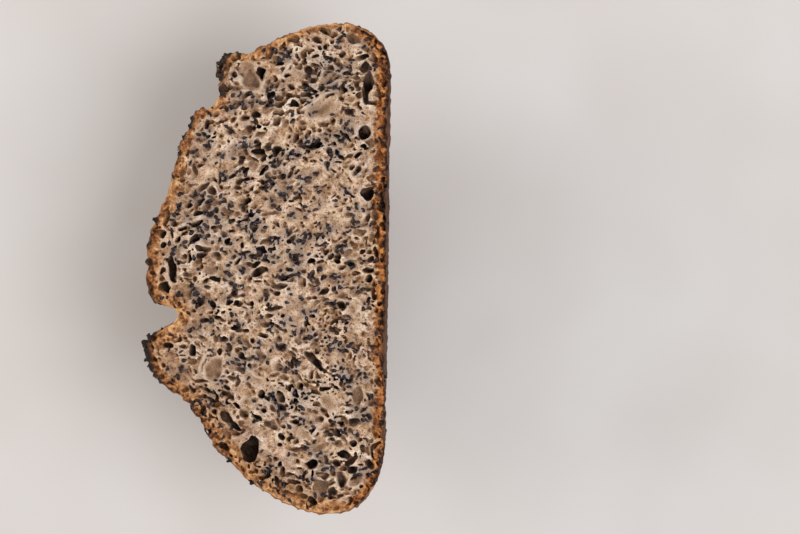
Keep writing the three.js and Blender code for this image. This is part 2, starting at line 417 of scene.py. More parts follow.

# %% [markdown]
# ## Bubbles
# The largest bubbles are listed one by one: they give a loaf its face. Each line says where the knife
# met a bubble and how large it is. The thousands of small ones are drawn at random from four sizes,
# from a rice grain down to a pin head. Every bubble is an ellipsoid in slightly warped space, so
# that none comes out as clean as a drawn one.

# %% The large bubbles
# height above the base crust, across, half length, half width, depth, angle of the long side
LARGE_BUBBLES = [
    # first end of the face, base side
    (17, 104, 4, 2.5, 5, -20), (28, 95, 2.5, 1.5, 2, 0), (23, 92, 2, 1.5, 2, 0), (13, 91, 2.5, 2.5, 5, 0),
    (10, 82, 7, 2.5, 7, 95), (9, 95, 3, 1.5, 2, -60), (42, 88, 3, 2, 1.5, 0), (18, 77, 2.5, 1.5, 1.5, 0),
    (30, 72, 7, 3.5, 1.2, 20), (45, 77, 2.5, 1, 3, -10), (50, 69, 2, 1.5, 3, 0), (29, 65.5, 2.5, 1.5, 3, 0),
    (45, 92, 2.5, 1, 3, 85), (45, 97, 2.5, 1, 3, 50), (38, 97, 2, 1.5, 2.5, 60), (38, 104, 1.5, 1, 2, 0),
    (30, 104, 1.5, 1, 2, 90), (48, 101, 2, 1.5, 3, 0), (39, 82.5, 1.5, 1, 2, 0), (20, 88, 2, 1, 2, 20),
    # first end, under the ear and the lid
    (64, 86, 7, 6.5, 5, 40), (58, 88, 3, 1.5, 8, 90), (69, 90, 3, 1, 2, 10), (59, 71, 6.5, 1.5, 2.5, 0),
    (52.5, 89, 2.5, 1.5, 2, 0),
    (65, 63, 2.5, 1, 3, 0), (57, 61, 4, 1.5, 1.5, 0), (83, 54, 2.5, 1.5, 2.5, 10),
    (88, 44, 3.5, 1.5, 3.5, 95),
    (92, 44, 2.5, 0.5, 2, 85), (92, 62, 3.5, 1, 2, 70), (90, 54, 2.5, 1, 2.5, 85),
    (76, 41, 3, 1, 3, 80), (76, 47, 2, 1, 2, 90), (71, 53, 3.5, 2, 2, 80), (62, 46.5, 2.5, 2, 2, 60),
    (56, 36, 3, 1, 3, 0), (51, 31, 3, 1.5, 2, -50), (93, 34, 1.5, 1, 2, 60), (84, 32, 2, 1, 2, 70),
    (87, 27, 2.5, 1.5, 2.5, 80), (98, 29, 3, 1, 2, 75),
    # before the middle, base side
    (11, 62, 3.5, 3, 6, -40), (20, 60.5, 3.5, 1, 4, -45), (17, 63, 2, 1, 3, 85), (9, 56, 3, 2, 2.5, 60),
    (41, 62, 1.5, 1, 1.5, 0), (28, 47, 2, 1.5, 2, 80), (33, 42, 1.5, 1, 2.5, 0), (9, 34, 4, 3, 7, 80),
    (17, 33, 3, 1, 2.5, -30), (22, 37, 2.5, 1, 2, -20), (33, 26, 2.5, 1.5, 2, 0), (17, 25, 3, 1, 2, 0),
    (9, 27, 2, 1, 2.5, 0), (52, 24, 4, 1, 3, 5),
    # middle, base side
    (29, 7, 3, 0.5, 2, -55), (39, -8, 3, 1.5, 2.5, 90), (33, -6, 2, 1.5, 1.5, 80), (14, -2.5, 3, 1, 3, 5),
    (8, -1, 3, 1.5, 5, 0), (9, 13, 2.5, 0.5, 2.5, 90), (15, 22, 1.5, 1, 2, 0), (50, 2, 4, 1.5, 1, 5),
    # middle, under the lid
    (98, -2, 7, 2, 6, 104), (100, 22, 4, 1, 3, 74), (82.5, 12, 5, 2, 2, -65), (93, 9, 3, 2, 1.5, 50),
    (91.5, 2.5, 1.5, 1, 2, 70), (78, 7, 1.5, 1.5, 2, 0), (79, -2, 3, 2, 1.5, 0), (63, -11, 2.5, 1.5, 3, 0),
    (68.5, -11, 1.5, 1.5, 2, 0),
    (88, -12, 3, 2, 2.5, -30), (55, -13, 1.5, 1.5, 2, 0), (66, 17.5, 2.5, 0.5, 2, 25),
    # past the middle, base side
    (51, -18, 4, 1, 3, 5),
    (42, -18, 2.5, 1, 2, 0), (42, -24.5, 4.5, 1.5, 2, -20), (14.5, -18, 3.5, 2, 2.5, 75),
    (22.5, -24.5, 2, 1.5, 2.5, 10),
    (16, -30, 2.5, 1.5, 1, 0), (32, -42, 6.5, 2, 6, -47), (33, -47.5, 1.5, 1, 3, 80),
    (49.5, -49, 2, 1, 3, 0), (15, -41, 2.5, 1, 2, 60), (12, -48.5, 1.5, 1, 2.5, 50), (22, -54, 1.5, 1, 3, 0),
    (27.5, -55, 3, 1, 4, 0), (9, -45, 2, 1, 2, 0),
    # behind the open score
    (88, -38, 2.5, 2, 5, 90), (82, -32.5, 1.5, 1, 3, 0), (97, -41, 2, 1.5, 2.5, 0), (77, -46, 6, 4, 3.5, 70),
    (83, -51, 5, 1, 3, -5), (87, -43.5, 2, 1.5, 2, 0), (64, -20, 2, 0.5, 2, 0), (57, -23, 1.5, 1, 2, 0),
    (73, -28, 1.5, 1, 1.5, 0), (65, -38, 1.5, 1, 2, 0), (57, -39, 4, 2, 2.5, -55), (66, -46, 3, 1.5, 2, -45),
    (67.5, -53, 3, 1.5, 3, 80), (60, -51, 6, 3, 1, -10), (65.5, -56, 3, 2, 2, 80),
    # second end, base side
    (12.5, -58, 4.5, 2, 3, 88),
    (25.5, -61, 4.5, 3.5, 2, 0), (30, -69, 2, 1.5, 3, 20), (51, -72, 4, 2, 4, -20),
    (37, -75, 5, 2, 1.5, -25),
    (12, -76.5, 2, 1, 3, 80), (40, -82, 5, 1, 3, -5), (29, -81.5, 4, 1.5, 2.5, 25),
    (15, -87, 3.5, 1.5, 4, 55),
    (44.5, -92, 2.5, 1.5, 4, -75), (39, -87, 1.5, 1, 2.5, 85), (47.5, -96.5, 3, 1.5, 4, -50),
    (52, -92, 3, 1, 3, -40), (43, -98, 2, 1, 3, 0), (32, -92, 2, 1, 3, -70), (36, -93, 3, 1, 2, -80),
    (19, -95.5, 4, 2.5, 5, -60),
    (12, -95.5, 4, 3, 3, 40), (13, -94.5, 2.5, 1, 4, 35), (27, -99, 4, 3, 4, 60),
    (37, -101, 2.5, 2, 4, -80),
    (33.5, -99, 2, 1, 3, -60), (42.5, -103, 2.5, 1, 3, 0), (19, -103, 1.5, 1, 3, 0),
    (4, -81.5, 3, 1, 2.5, 85),
    # second end, dome side
    (69.5, -70, 5.5, 2, 5, -42),
    (60.5, -83, 6.5, 4, 10, 80), (88, -56.5, 3, 1, 4, -45), (77, -58, 4.5, 1, 3, -70),
    (58, -68.5, 3, 1, 3, -25), (68, -79, 1.5, 1.5, 1.5, 0), (75, -77.5, 1.5, 1, 2, 0),
]

# %% Opening bubbles in the slab
WARP = [(0.6, 5.0), (0.3, 2.2), (0.13, 1.1)]
WARP_SEED = 50
NO_GAS = -2.5
BLOCK_MARGIN = 2.0
TINY = 1e-6

warped = [place[n] + sum(amount * noise(slab_axes, spacing, WARP_SEED + 3 * s + n)
                         for s, (amount, spacing) in enumerate(WARP)) for n in range(3)]
gas = np.full(slab_shape, NO_GAS, np.float32)
bubble_size = np.zeros(slab_shape, np.float32)


def ellipsoid(centre, halves, angle):
    """The block of the slab round an ellipsoid, and there the distance ratio and its slope."""
    reach = max(halves[0], halves[1]) + BLOCK_MARGIN
    span = [reach, reach, halves[2] + BLOCK_MARGIN]
    block = tuple(slice(max(int((c - r - axis[0]) / FINE_STEP), 0),
                        max(int((c + r - axis[0]) / FINE_STEP) + 2, 0))
                  for c, r, axis in zip(centre, span, slab_axes))
    x, y, z = (warped[n][block] - centre[n] for n in range(3))
    long_way = (math.cos(angle) * x + math.sin(angle) * y) / halves[0]
    wide_way = (math.cos(angle) * y - math.sin(angle) * x) / halves[1]
    deep_way = z / halves[2]
    ratio = np.sqrt(long_way ** 2 + wide_way ** 2 + deep_way ** 2) + TINY
    slope = np.sqrt((long_way / halves[0]) ** 2 + (wide_way / halves[1]) ** 2
                    + (deep_way / halves[2]) ** 2) + TINY
    return block, ratio, slope


def open_bubble(centre, halves, angle):
    block, ratio, slope = ellipsoid(centre, halves, angle)
    inside = ratio * (1 - ratio) / slope
    bubble_size[block] = np.where(inside > gas[block], halves[1], bubble_size[block])
    gas[block] = np.maximum(gas[block], inside)


DISH_LIFT = 0.55
SUNK_OF_DEPTH = 0.3
SUNK_OF_WIDTH = 0.6

for height, across, long, wide, deep, degrees in LARGE_BUBBLES:
    if deep > wide:
        # the knife met it above its middle, so its walls go straight down
        sunk = min(SUNK_OF_DEPTH * deep, SUNK_OF_WIDTH * wide)
        halves = (long, wide, deep - sunk)
    else:
        # the knife met it below its middle and left a dish
        spread = math.sqrt(1 - DISH_LIFT ** 2)
        halves = (long / spread, wide / spread, deep / (1 - DISH_LIFT))
        sunk = -DISH_LIFT * halves[2]
    open_bubble((base_x - height, across, cut_z - sunk), halves, math.radians(degrees))
print("large bubbles:", len(LARGE_BUBBLES))

# %% [markdown]
# ## The foam between them
# Small bubbles press against each other and leave only thin walls, so they can't be strewn blindly.
# They are tried one by one from large to small, and a bubble is opened only where the field of
# those already open says that there is room. Both ends of the loaf, the dough under the dome's
# crust and some drifts rose more and are coarser; the middle is close and fine.

# %% The small bubbles
# tries in each square centimetre, half width from and to, most times as long as wide, only coarse dough
SMALL_BUBBLES = [(2.2, 1.3, 2.0, 1.9, True), (26, 0.8, 1.4, 1.9, True), (70, 0.5, 0.8, 1.8, False),
                 (50, 0.36, 0.5, 1.6, False)]
CRUST_CLEARANCE = 0.7
CROWDING = 0.85
DRIFT_OF_COARSE = 17.0
DRIFT_SEED = 33
COARSE_SHARE = 0.5
COARSE_ENDS = (45, 90)
UNDER_CRUST = (7, 14)
OFF_BASE = (15, 25)
SUNK_RANGE = (-0.4, 0.8)
DEPTH_RANGE = (1.3, 2.8)
BUBBLE_LEAN = 0.35
FOAM_SEED = 5

draw = np.random.default_rng(FOAM_SEED)
face_axes = [slab_axes[0], slab_axes[1], slab_axes[2][face_layer:face_layer + 1]]
off_base = smooth_step(base_x - slab_axes[0], *OFF_BASE)[:, None]
coarse_dough = COARSE_SHARE * noise(face_axes, DRIFT_OF_COARSE, DRIFT_SEED)[:, :, 0] + COARSE_SHARE
coarse_dough += COARSE_SHARE * smooth_step(np.abs(slab_axes[1]), *COARSE_ENDS)[None, :]
coarse_dough += COARSE_SHARE * (1 - smooth_step(face_depth, *UNDER_CRUST)) * off_base
grid_area = face_depth.size * FINE_STEP ** 2
for per_cm2, smallest, largest, most_stretch, needs_coarse in SMALL_BUBBLES:
    tries = int(per_cm2 * grid_area / MM2_IN_CM2)
    spots = zip(draw.integers(slab_shape[0], size=tries), draw.integers(slab_shape[1], size=tries),
                draw.uniform(smallest, largest, tries), draw.uniform(1.0, most_stretch, tries),
                draw.uniform(*SUNK_RANGE, tries), draw.uniform(*DEPTH_RANGE, tries),
                draw.normal(0, BUBBLE_LEAN, tries), draw.uniform(0.0, 1.0, tries))
    opened = 0
    for i, j, wide, stretch, sunk, deep, lean, chance in spots:
        if face_depth[i, j] < CRUST_CLEARANCE + wide or -gas[i, j, face_layer] < CROWDING * wide:
            continue
        if needs_coarse and chance > coarse_dough[i, j]:
            continue
        centre = (slab_axes[0][i], slab_axes[1][j], cut_z - sunk * wide)
        open_bubble(centre, (wide * stretch, wide, wide * deep), long_side[i, j] + lean)
        opened += 1
    print("half width", smallest, "to", largest, "mm:", opened, "opened of", tries)

# %% [markdown]
# ## Folds
# Here and there a sheet of gluten ran through a bubble and set as a raised, smooth fold. Each one
# is a long thin ellipsoid of bread put back into the gas.

# %% Laying folds across the bubbles
# height above the base crust, across, half length, half width, how far its back lies under the cut, angle
FOLDS = [
    (35, 75, 6.5, 1.1, -1.2, 35), (27, 80, 3.5, 0.7, -0.2, 20), (25, 83.5, 4.5, 0.6, -0.3, 10),
    (46, 91, 5.5, 0.8, -0.5, 65), (61.5, 61, 2.5, 0.7, -0.4, 60), (100, -4, 7, 0.6, -0.3, 105),
    (51, 3.5, 3.5, 0.7, -0.3, 3), (83, -42, 7, 1, -0.5, 85), (60, -48, 7.5, 0.9, -0.6, -30),
    (64, -76, 3.5, 0.7, -0.5, 50), (40, -66, 5, 0.8, -0.4, -40), (31, -74, 4, 0.8, -0.4, 60),
]
FOLD_DEPTH = 2.2
SMOOTH_BACK = 3.0
SMOOTHED_TO = 1.3

off_fold = np.full(slab_shape, -NO_GAS, np.float32)
for height, across, long, wide, under, degrees in FOLDS:
    centre = (base_x - height, across, cut_z - under - FOLD_DEPTH)
    block, ratio, slope = ellipsoid(centre, (long, wide, FOLD_DEPTH), math.radians(degrees))
    off_fold[block] = np.minimum(off_fold[block], ratio * (ratio - 1) / slope)
    bubble_size[block] = np.where(ratio < SMOOTHED_TO, SMOOTH_BACK, bubble_size[block])
print("folds:", len(FOLDS))

# %% [markdown]
# ## The solid slab of crumb
# Three fields together make the bread: it is inside the crust, under the knife's cut, and not in a
# bubble. The largest of the three values says how far outside a point is. Where the cut meets a
# bubble, a smooth maximum rounds the lip, by a third of the bubble's half width and by less than
# a millimetre. The cut itself is rough, because a bread knife tears as much as it slices.

# %% The crumb's field
LIP_SHARE = 0.35
LIP_LIMITS = (0.22, 0.9)
FOLD_FOOT = 0.5
TORN = [(0.34, 3.2), (0.34, 1.6), (0.26, 0.9)]
TORN_SEED = 31
WALL_SHARE = 0.25
CUT_SINK = 0.25
TORN_FLOOR = -0.15
TORN_ROUNDING = 0.3


def smooth_maximum(a, b, reach):
    """The larger of the two, with a round crossing where they differ by less than reach."""
    overlap = np.maximum(reach - np.abs(a - b), 0) / reach
    return np.maximum(a, b) + 0.25 * reach * overlap ** 2


torn = sum(amount * noise(slab_axes, (spacing, spacing, 2 * spacing), TORN_SEED + n)
           for n, (amount, spacing) in enumerate(TORN))
# nothing stands above the knife's own plane
above_cut = place[2] - cut_z + CUT_SINK + smooth_maximum(torn, TORN_FLOOR, TORN_ROUNDING)
lip = np.clip(LIP_SHARE * bubble_size, *LIP_LIMITS)
bread = smooth_maximum(above_cut, gas + WALL_SHARE * torn, lip)
bread = -smooth_maximum(-bread, -off_fold, FOLD_FOOT)
bread = np.maximum(bread, -slab_crust)
bread[:, :, 0] = 1.0
print("bread, in 100 points of the slab:", round(100 * np.count_nonzero(bread < 0) / bread.size))

# %% [markdown]
# ## From a field to a mesh
# The level set's own mesher wraps the zero surface in four-sided faces about as large as a grid
# cell. The flat cut through the bread at the slab's underside is never seen, so a few large faces
# take the place of its thousands of small ones.

# %% Wrapping a field in faces
FIELD_LIMIT = 3.0


def wrap(field, axes, step):
    """Points in millimetres and four-sided faces of the zero surface."""
    grid = openvdb.FloatGrid(FIELD_LIMIT * step)
    grid.copyFromArray(np.ascontiguousarray(np.clip(field, -FIELD_LIMIT * step, FIELD_LIMIT * step)))
    grid.transform = openvdb.createLinearTransform(voxelSize=step)
    points, triangles, quads = grid.convertToPolygons(0.0, 0.0)
    return points + [axis[0] for axis in axes], quads[:, ::-1].astype(np.int64)


def largest_piece(points, quads):
    """Drops the crumbs of surface that hang free inside a closed bubble."""
    label = np.arange(len(points))
    while True:
        lowest_label = label[quads].min(1)
        new = label.copy()
        np.minimum.at(new, quads.ravel(), np.repeat(lowest_label, 4))
        new = new[new]
        if (new == label).all():
            break
        label = new
    counts = np.bincount(label[quads[:, 0]])
    return quads[label[quads[:, 0]] == counts.argmax()]


# %% Taking out the faces of a flat side
def without_flat(points, quads, flat):
    """Takes out the faces that lie in flat, and walks the rings of corners round the holes."""
    keep = quads[~flat[quads].all(1)]
    edges = np.stack([keep, np.roll(keep, -1, 1)], 2).reshape(-1, 2)
    forward = set(map(tuple, edges[flat[edges].all(1)]))
    follows = {}
    for a, b in sorted(forward):
        if (b, a) not in forward:
            follows.setdefault(b, []).append(a)
    rings, path = [], []
    while follows:
        path = path or [next(iter(follows))]
        onward = follows[path[-1]].pop()
        if not follows[path[-1]]:
            del follows[path[-1]]
        if onward in path:
            start = path.index(onward)
            rings.append(path[start:])
            path = path[:start + 1] if onward in follows else []
        else:
            path.append(onward)
    return keep, rings


# %% A piece from points, faces and rings
def mesh_piece(name, points, quads, rings):
    used = np.unique(quads)
    renumber = np.zeros(len(points), np.int64)
    renumber[used] = np.arange(len(used))
    corners = np.concatenate([renumber[quads].ravel()] + [renumber[ring] for ring in rings])
    sizes = [4] * len(quads) + [len(ring) for ring in rings]
    starts = (np.cumsum(sizes) - sizes).astype(np.int32)
    mesh = bpy.data.meshes.new(name)
    mesh.vertices.add(len(used))
    mesh.vertices.foreach_set("co", (points[used] * MM).astype(np.float32).ravel())
    mesh.loops.add(len(corners))
    mesh.loops.foreach_set("vertex_index", corners.astype(np.int32))
    mesh.polygons.add(len(starts))
    mesh.polygons.foreach_set("loop_start", starts)
    mesh.polygons.foreach_set("use_smooth", np.arange(len(sizes)) < len(quads))
    mesh.update(calc_edges=True)
    mesh.validate()
    return into_scene(name, mesh)


# %% The crumb piece
crumb_points, crumb_quads = wrap(bread, slab_axes, FINE_STEP)
crumb_quads = largest_piece(crumb_points, crumb_quads)
slab_floor = crumb_points[:, 2] < slab_axes[2][0] + FINE_STEP
crumb_quads, floor_rings = without_flat(crumb_points, crumb_quads, slab_floor)
crumb = mesh_piece("crumb", crumb_points, crumb_quads, floor_rings)
print("crumb faces:", len(crumb_quads), "rings:", [len(ring) for ring in floor_rings])

# %% [markdown]
# ## The crust below the crumb
# The rest of the loaf is one crust-covered solid. It starts a little above the slab's underside and
# a hair further in, so that the two overlap like a lid on a box and no gap shows between them.

# %% The crust piece
CRUST_STEP = 1.0
OVERLAP = 1.0
HAIR = 0.12
FLOOR_GAP = 0.05
LID_SLACK = 0.05

slab_bottom = cut_z - SLAB_DEPTH
body_top = slab_bottom + OVERLAP
body_axes = grid_axes(lowest - FACE_MARGIN, [highest[0] + FACE_MARGIN, highest[1] + FACE_MARGIN,
                                             slab_bottom + FACE_MARGIN], CRUST_STEP)
body_depth = resample(crust_depth, coarse_axes, body_axes) + crust_roughness(body_axes)
body_depth = open_notch(body_depth, body_axes)
in_overlap = smooth_step(body_axes[2], slab_bottom - 0.5 * OVERLAP, slab_bottom + 0.5 * OVERLAP)
crust_field = HAIR * in_overlap[None, None, :] - body_depth
crust_field = np.maximum(crust_field, body_axes[2][None, None, :] - body_top).astype(np.float32)
# the stone floor flattens whatever would hang below it
crust_field = np.maximum(crust_field, FLOOR_GAP - body_axes[2][None, None, :]).astype(np.float32)
crust_points, crust_quads = wrap(crust_field, body_axes, CRUST_STEP)
body_lid = crust_points[:, 2] > body_top - LID_SLACK
crust_quads, lid_rings = without_flat(crust_points, crust_quads, body_lid)
crust = mesh_piece("crust", crust_points, crust_quads, lid_rings)
print("crust faces:", len(crust_quads), "rings:", [len(ring) for ring in lid_rings])

# %% [markdown]
# ## Thinning the meshes and marking their points
# A grid gives the flat places as many faces as the torn ones. Collapsing the least needed edges
# brings each mesh to a size that is easy to handle and keeps the rims of the bubbles sharp. The
# finishes need to know more about a place than where it is, so each point is marked: how deep it
# lies inside the crust, how far the crust stands out there, how wide the bubble beside it is, and
# how far it lies below the bread round it.

# %% Thin out a mesh and mark its points
CRUMB_TRIANGLES = 198000
CRUST_TRIANGLES = 120000


def thin_out(piece, triangles):
    piece.data.calc_loop_triangles()
    now = len(piece.data.loop_triangles)
    if now > triangles:
        collapse = piece.modifiers.new("collapse", "DECIMATE")
        collapse.ratio = triangles / now
        collapse.use_collapse_triangulate = True
        graph = bpy.context.evaluated_depsgraph_get()
        thin = bpy.data.meshes.new_from_object(piece.evaluated_get(graph))
        piece.modifiers.clear()
        piece.data = thin
    places = np.empty(3 * len(piece.data.vertices), np.float32)
    piece.data.vertices.foreach_get("co", places)
    print(piece.name, "triangles:", now, "->", min(now, triangles))
    return places.reshape(-1, 3) / MM


def mark(piece, name, values):
    made = piece.data.attributes.new(name, "FLOAT", "POINT")
    made.data.foreach_set("value", np.ascontiguousarray(values, np.float32))


crumb_places = thin_out(crumb, CRUMB_TRIANGLES)
crust_places = thin_out(crust, CRUST_TRIANGLES)

# %% The surface as seen from above, and the level of the bread round each place
# a place gets painted shade if it lies below what is within 2.2 mm, or deep under the cut in a narrow
# bubble, and a little more painted shade if it lies below what is within 0.8 mm
ROUND_ABOUT = 2.2
CLOSE_BY = 0.8
DEPTH_SHARE = 0.38
WIDEST_DIM = 4.0
DIMPLE_SHARE = 0.9
NARROWEST = 0.1
CHAR_FADE = (0.2, 1.4)
WALL_REACH = 0.6
OVER_LOAF = 10

solid = bread < 0
top_layer = solid.shape[2] - 1 - np.argmax(solid[:, :, ::-1], axis=2)
ii, jj = np.indices(top_layer.shape)
just_in = bread[ii, jj, top_layer]
just_out = bread[ii, jj, np.minimum(top_layer + 1, solid.shape[2] - 1)]
surface_level = slab_axes[2][top_layer] + FINE_STEP * just_in / (just_in - just_out - TINY)
on_bread = solid.any(2).astype(np.float32)
surface_level = np.where(on_bread > 0, surface_level, cut_z)


def blur_map(flat_map, reach):
    for axis in slab_axes[:2]:
        kernel = np.exp(-0.5 * ((axis[:, None] - axis[None, :]) / reach) ** 2)
        flat_map = np.tensordot(flat_map, kernel, axes=(0, 1))
    return flat_map


def level_round(reach):
    """The mean level of the bread within reach, over which the knife's plane continues."""
    level = blur_map(surface_level * on_bread, reach) / (blur_map(on_bread, reach) + TINY)
    return np.repeat(np.where(on_bread > 0, level, cut_z)[:, :, None], 2, axis=2)


# a map has no height, so it is read as two equal layers, one under the loaf and one above it
flat_axes = [slab_axes[0], slab_axes[1], np.array([lowest[2], highest[2] + OVER_LOAF])]

for piece, places, depth, axes in ((crumb, crumb_places, slab_crust, slab_axes),
                                   (crust, crust_places, body_depth, body_axes)):
    mark(piece, "crust_depth", read_at(depth, axes, places))
    mark(piece, "stands_out", read_at(stands_out, form_axes, places))
    mark(piece, "char", 1 - smooth_step(distance_to_char(*places.T), *CHAR_FADE))
at_wall = (gas > -WALL_REACH) | (off_fold < WALL_REACH)
bubble_width = read_at(np.where(at_wall, bubble_size, 0), slab_axes, crumb_places)
mark(crumb, "bubble_width", bubble_width)
below_cut = (cut_z - crumb_places[:, 2]) * np.minimum(WIDEST_DIM / np.maximum(bubble_width, NARROWEST), 1)
hollow, dimple = (read_at(level_round(reach), flat_axes, crumb_places) - crumb_places[:, 2]
                  for reach in (ROUND_ABOUT, CLOSE_BY))
hollow = np.maximum(hollow, DEPTH_SHARE * below_cut) + DIMPLE_SHARE * dimple
mark(crumb, "hollow", hollow)
print("hollow, mm, at 50, 80 and 95 of 100 places:", np.percentile(hollow, [50, 80, 95]).round(2))

# %% [markdown]
# ## Black sesame
# A sesame seed is a flat drop about 3 mm long, rounded at one end and pointed at the other. One seed
# is modelled, and more than a thousand turned and resized copies are written into single meshes.
# In the crumb the seeds lie in clumps and drifts along the folds of the dough, half sunk in it. On
# the crust they sit on top, where the shaped loaf was rolled in them. A particle system could
# strew them evenly; a list of clumps puts them where they show how the dough was folded.

# %% One seed
SEED_LENGTH = 3.3
SEED_WIDTH = 2.1
SEED_THICKNESS = 1.1
SEED_SIDES = 8
SEED_BANDS = 5
SEED_TAPER = 0.22
SEED_BLUNTNESS = 0.85


def seed_shape():
    """A closed drop along X, flattened, as points and triangles."""
    points = [(-0.5 * SEED_LENGTH, 0, 0)]
    for band in range(1, SEED_BANDS):
        t = band / SEED_BANDS
        girth = math.sin(math.pi * t ** SEED_BLUNTNESS) * (1 - SEED_TAPER * t)
        for side in range(SEED_SIDES):
            turn = 2 * math.pi * side / SEED_SIDES
            points.append(((t - 0.5) * SEED_LENGTH, 0.5 * SEED_WIDTH * girth * math.cos(turn),
                           0.5 * SEED_THICKNESS * girth * math.sin(turn)))
    points.append((0.5 * SEED_LENGTH, 0, 0))
    last = len(points) - 1
    faces = []
    for side in range(SEED_SIDES):
        after = (side + 1) % SEED_SIDES
        faces.append((0, 1 + after, 1 + side))
        for band in range(SEED_BANDS - 2):
            a = 1 + band * SEED_SIDES
            faces.append((a + side, a + after, a + SEED_SIDES + after))
            faces.append((a + side, a + SEED_SIDES + after, a + SEED_SIDES + side))
        end = 1 + (SEED_BANDS - 2) * SEED_SIDES
        faces.append((end + side, end + after, last))
    return np.array(points), np.array(faces)


# %% Many copies in one mesh
def joined_copies(name, shape, centres, axes, sizes):
    """axes holds each copy's three directions as rows; sizes its scale along them."""
    points, faces = shape
    copies = np.einsum("pk,nk,nkd->npd", points, sizes, axes) + centres[:, None, :]
    numbers = faces[None] + len(points) * np.arange(len(centres))[:, None, None]
    mesh = bpy.data.meshes.new(name)
    mesh.from_pydata((copies.reshape(-1, 3) * MM).tolist(), [], numbers.reshape(-1, 3).tolist())
    mesh.polygons.foreach_set("use_smooth", np.ones(len(mesh.polygons), bool))
    mesh.update()
    return into_scene(name, mesh)


def unit(vectors):
    return vectors / np.linalg.norm(vectors, axis=-1, keepdims=True)


def lying_axes(direction, up, lean, draw):
    """Axes of flat things that lie along direction on a surface facing up, each leaning a little."""
    up = unit(up + lean * draw.standard_normal(up.shape))
    side = unit(np.cross(up, direction))
    return np.stack([np.cross(side, up), side, up], 1)


# %% Clumps of seeds on the cut face
# height above the base crust, across, how many seeds
SEED_CLUMPS = [
    (20, 104, 4), (51, 96, 6), (46, 95, 3), (48, 99, 3), (33, 90, 2), (37, 87, 1), (22, 92, 3), (28, 84, 6),
    (24, 88, 2), (20, 88, 3), (53, 82, 2), (50, 80, 2), (38, 81, 3), (33, 81, 2), (53, 76, 3), (55, 71, 2),
    (19, 68, 4), (16, 70, 1), (27, 108, 2), (38, 107, 2), (10, 99, 1), (17, 95, 1), (71, 79, 2), (56, 74, 4),
    (61, 74, 2), (72, 72, 2), (83, 67, 4), (17, 64, 2), (21, 61, 3), (18, 59, 3), (24, 59, 1), (26, 57, 2),
    (32, 57, 2), (38, 59, 1), (36, 55, 9), (27, 52, 4), (47, 51, 2), (42, 52, 3), (28, 48, 3), (27, 45, 2),
    (48, 46, 2), (46, 42, 4), (42, 39, 4), (34, 42, 2), (38, 38, 2), (33, 37, 1), (28, 37, 1), (31, 35, 1),
    (20, 36, 3), (46, 34, 5), (54, 36, 2), (51, 29, 5), (37, 28, 1), (34, 26, 3), (25, 28, 1), (15, 26, 3),
    (11, 26, 2), (84, 62, 4), (82, 60, 2), (79, 57, 5), (88, 52, 6), (90, 55, 1), (82, 50, 1), (67, 54, 9),
    (57, 55, 1), (54, 53, 2), (56, 50, 1), (68, 44, 3), (75, 39, 3), (57, 45, 3), (56, 39, 2), (53, 40, 2),
    (93, 33, 2), (89, 32, 3), (84, 32, 3), (87, 27, 5), (75, 30, 3), (69, 35, 3), (72, 27, 2), (45, 23, 3),
    (37, 23, 1), (26, 18, 2), (30, 19, 2), (31, 15, 3), (28, 12, 2), (15, 21, 2), (10, 20, 2), (20, 16, 2),
    (19, 10, 2), (13, 19, 1), (35, 13, 1), (42, 12, 4), (38, 14, 4), (37, 7, 6), (42, 4, 4), (43, -2, 4),
    (39, -3, 2), (52, 11, 2), (54, 4, 5), (23, 7, 3), (29, 0, 1), (18, 3, 2), (11, 4, 1), (5, 4, 1),
    (22, -4, 4),
    (10, -9, 2), (15, -9, 2), (50, -4, 3), (51, -12, 2), (42, -12, 1), (38, -14, 2), (97, 27, 3),
    (95, 24, 3), (89, 21, 4), (88, 16, 4), (83, 18, 2), (82, 15, 3), (76, 11, 3), (77, 7, 1), (87, 12, 3),
    (86, 8, 4), (85, 5, 1), (91, 3, 3), (73, 7, 5), (73, 13, 1), (60, 12, 4), (53, 10, 3), (67, 7, 2),
    (66, 3, 2), (59, 6, 3), (55, 4, 3), (65, 19, 3), (62, 18, 4), (58, 17, 2), (61, 20, 2), (60, 25, 3),
    (72, 23, 2), (79, 24, 2), (70, -3, 4), (64, -2, 3), (76, -6, 2), (71, -8, 3), (69, -11, 3), (55, -12, 2),
    (88, -11, 6), (86, -13, 4), (94, -15, 4), (23, -16, 3), (18, -16, 2), (8, -16, 1), (35, -20, 3),
    (32, -19, 2), (45, -22, 2), (41, -28, 3), (43, -31, 1), (33, -29, 2), (28, -28, 3), (49, -27, 2),
    (53, -27, 2), (48, -32, 1), (33, -32, 2), (37, -33, 1), (20, -34, 9), (13, -32, 1), (49, -38, 4),
    (46, -37, 2), (26, -39, 2), (43, -43, 1), (39, -43, 2), (43, -47, 3), (29, -51, 2), (11, -48, 2),
    (8, -49, 3), (13, -52, 1), (94, -19, 2), (86, -18, 3), (80, -17, 6), (84, -22, 2), (68, -23, 3),
    (57, -23, 2), (79, -24, 2), (87, -27, 3), (84, -27, 4), (69, -33, 3), (56, -37, 4), (64, -37, 1),
    (70, -42, 3), (99, -37, 2), (96, -49, 6), (92, -46, 2), (75, -52, 3), (66, -51, 1), (69, -53, 4),
    (47, -57, 2), (40, -57, 2), (46, -59, 1), (34, -58, 3), (48, -62, 3), (37, -63, 3), (13, -65, 4),
    (10, -68, 2), (6, -59, 2), (36, -69, 2), (16, -75, 6), (24, -76, 2), (22, -78, 1), (36, -82, 1),
    (30, -84, 3), (26, -84, 2), (42, -86, 2), (28, -89, 6), (49, -90, 1), (24, -91, 3), (28, -102, 4),
    (84, -61, 4), (76, -62, 5), (80, -68, 3), (58, -70, 2), (51, -92, 4), (5, -82, 1),
]
CLUMP_REACH = 0.9
CLUMP_STRETCH = 1.5
STRAY_SEEDS = 470
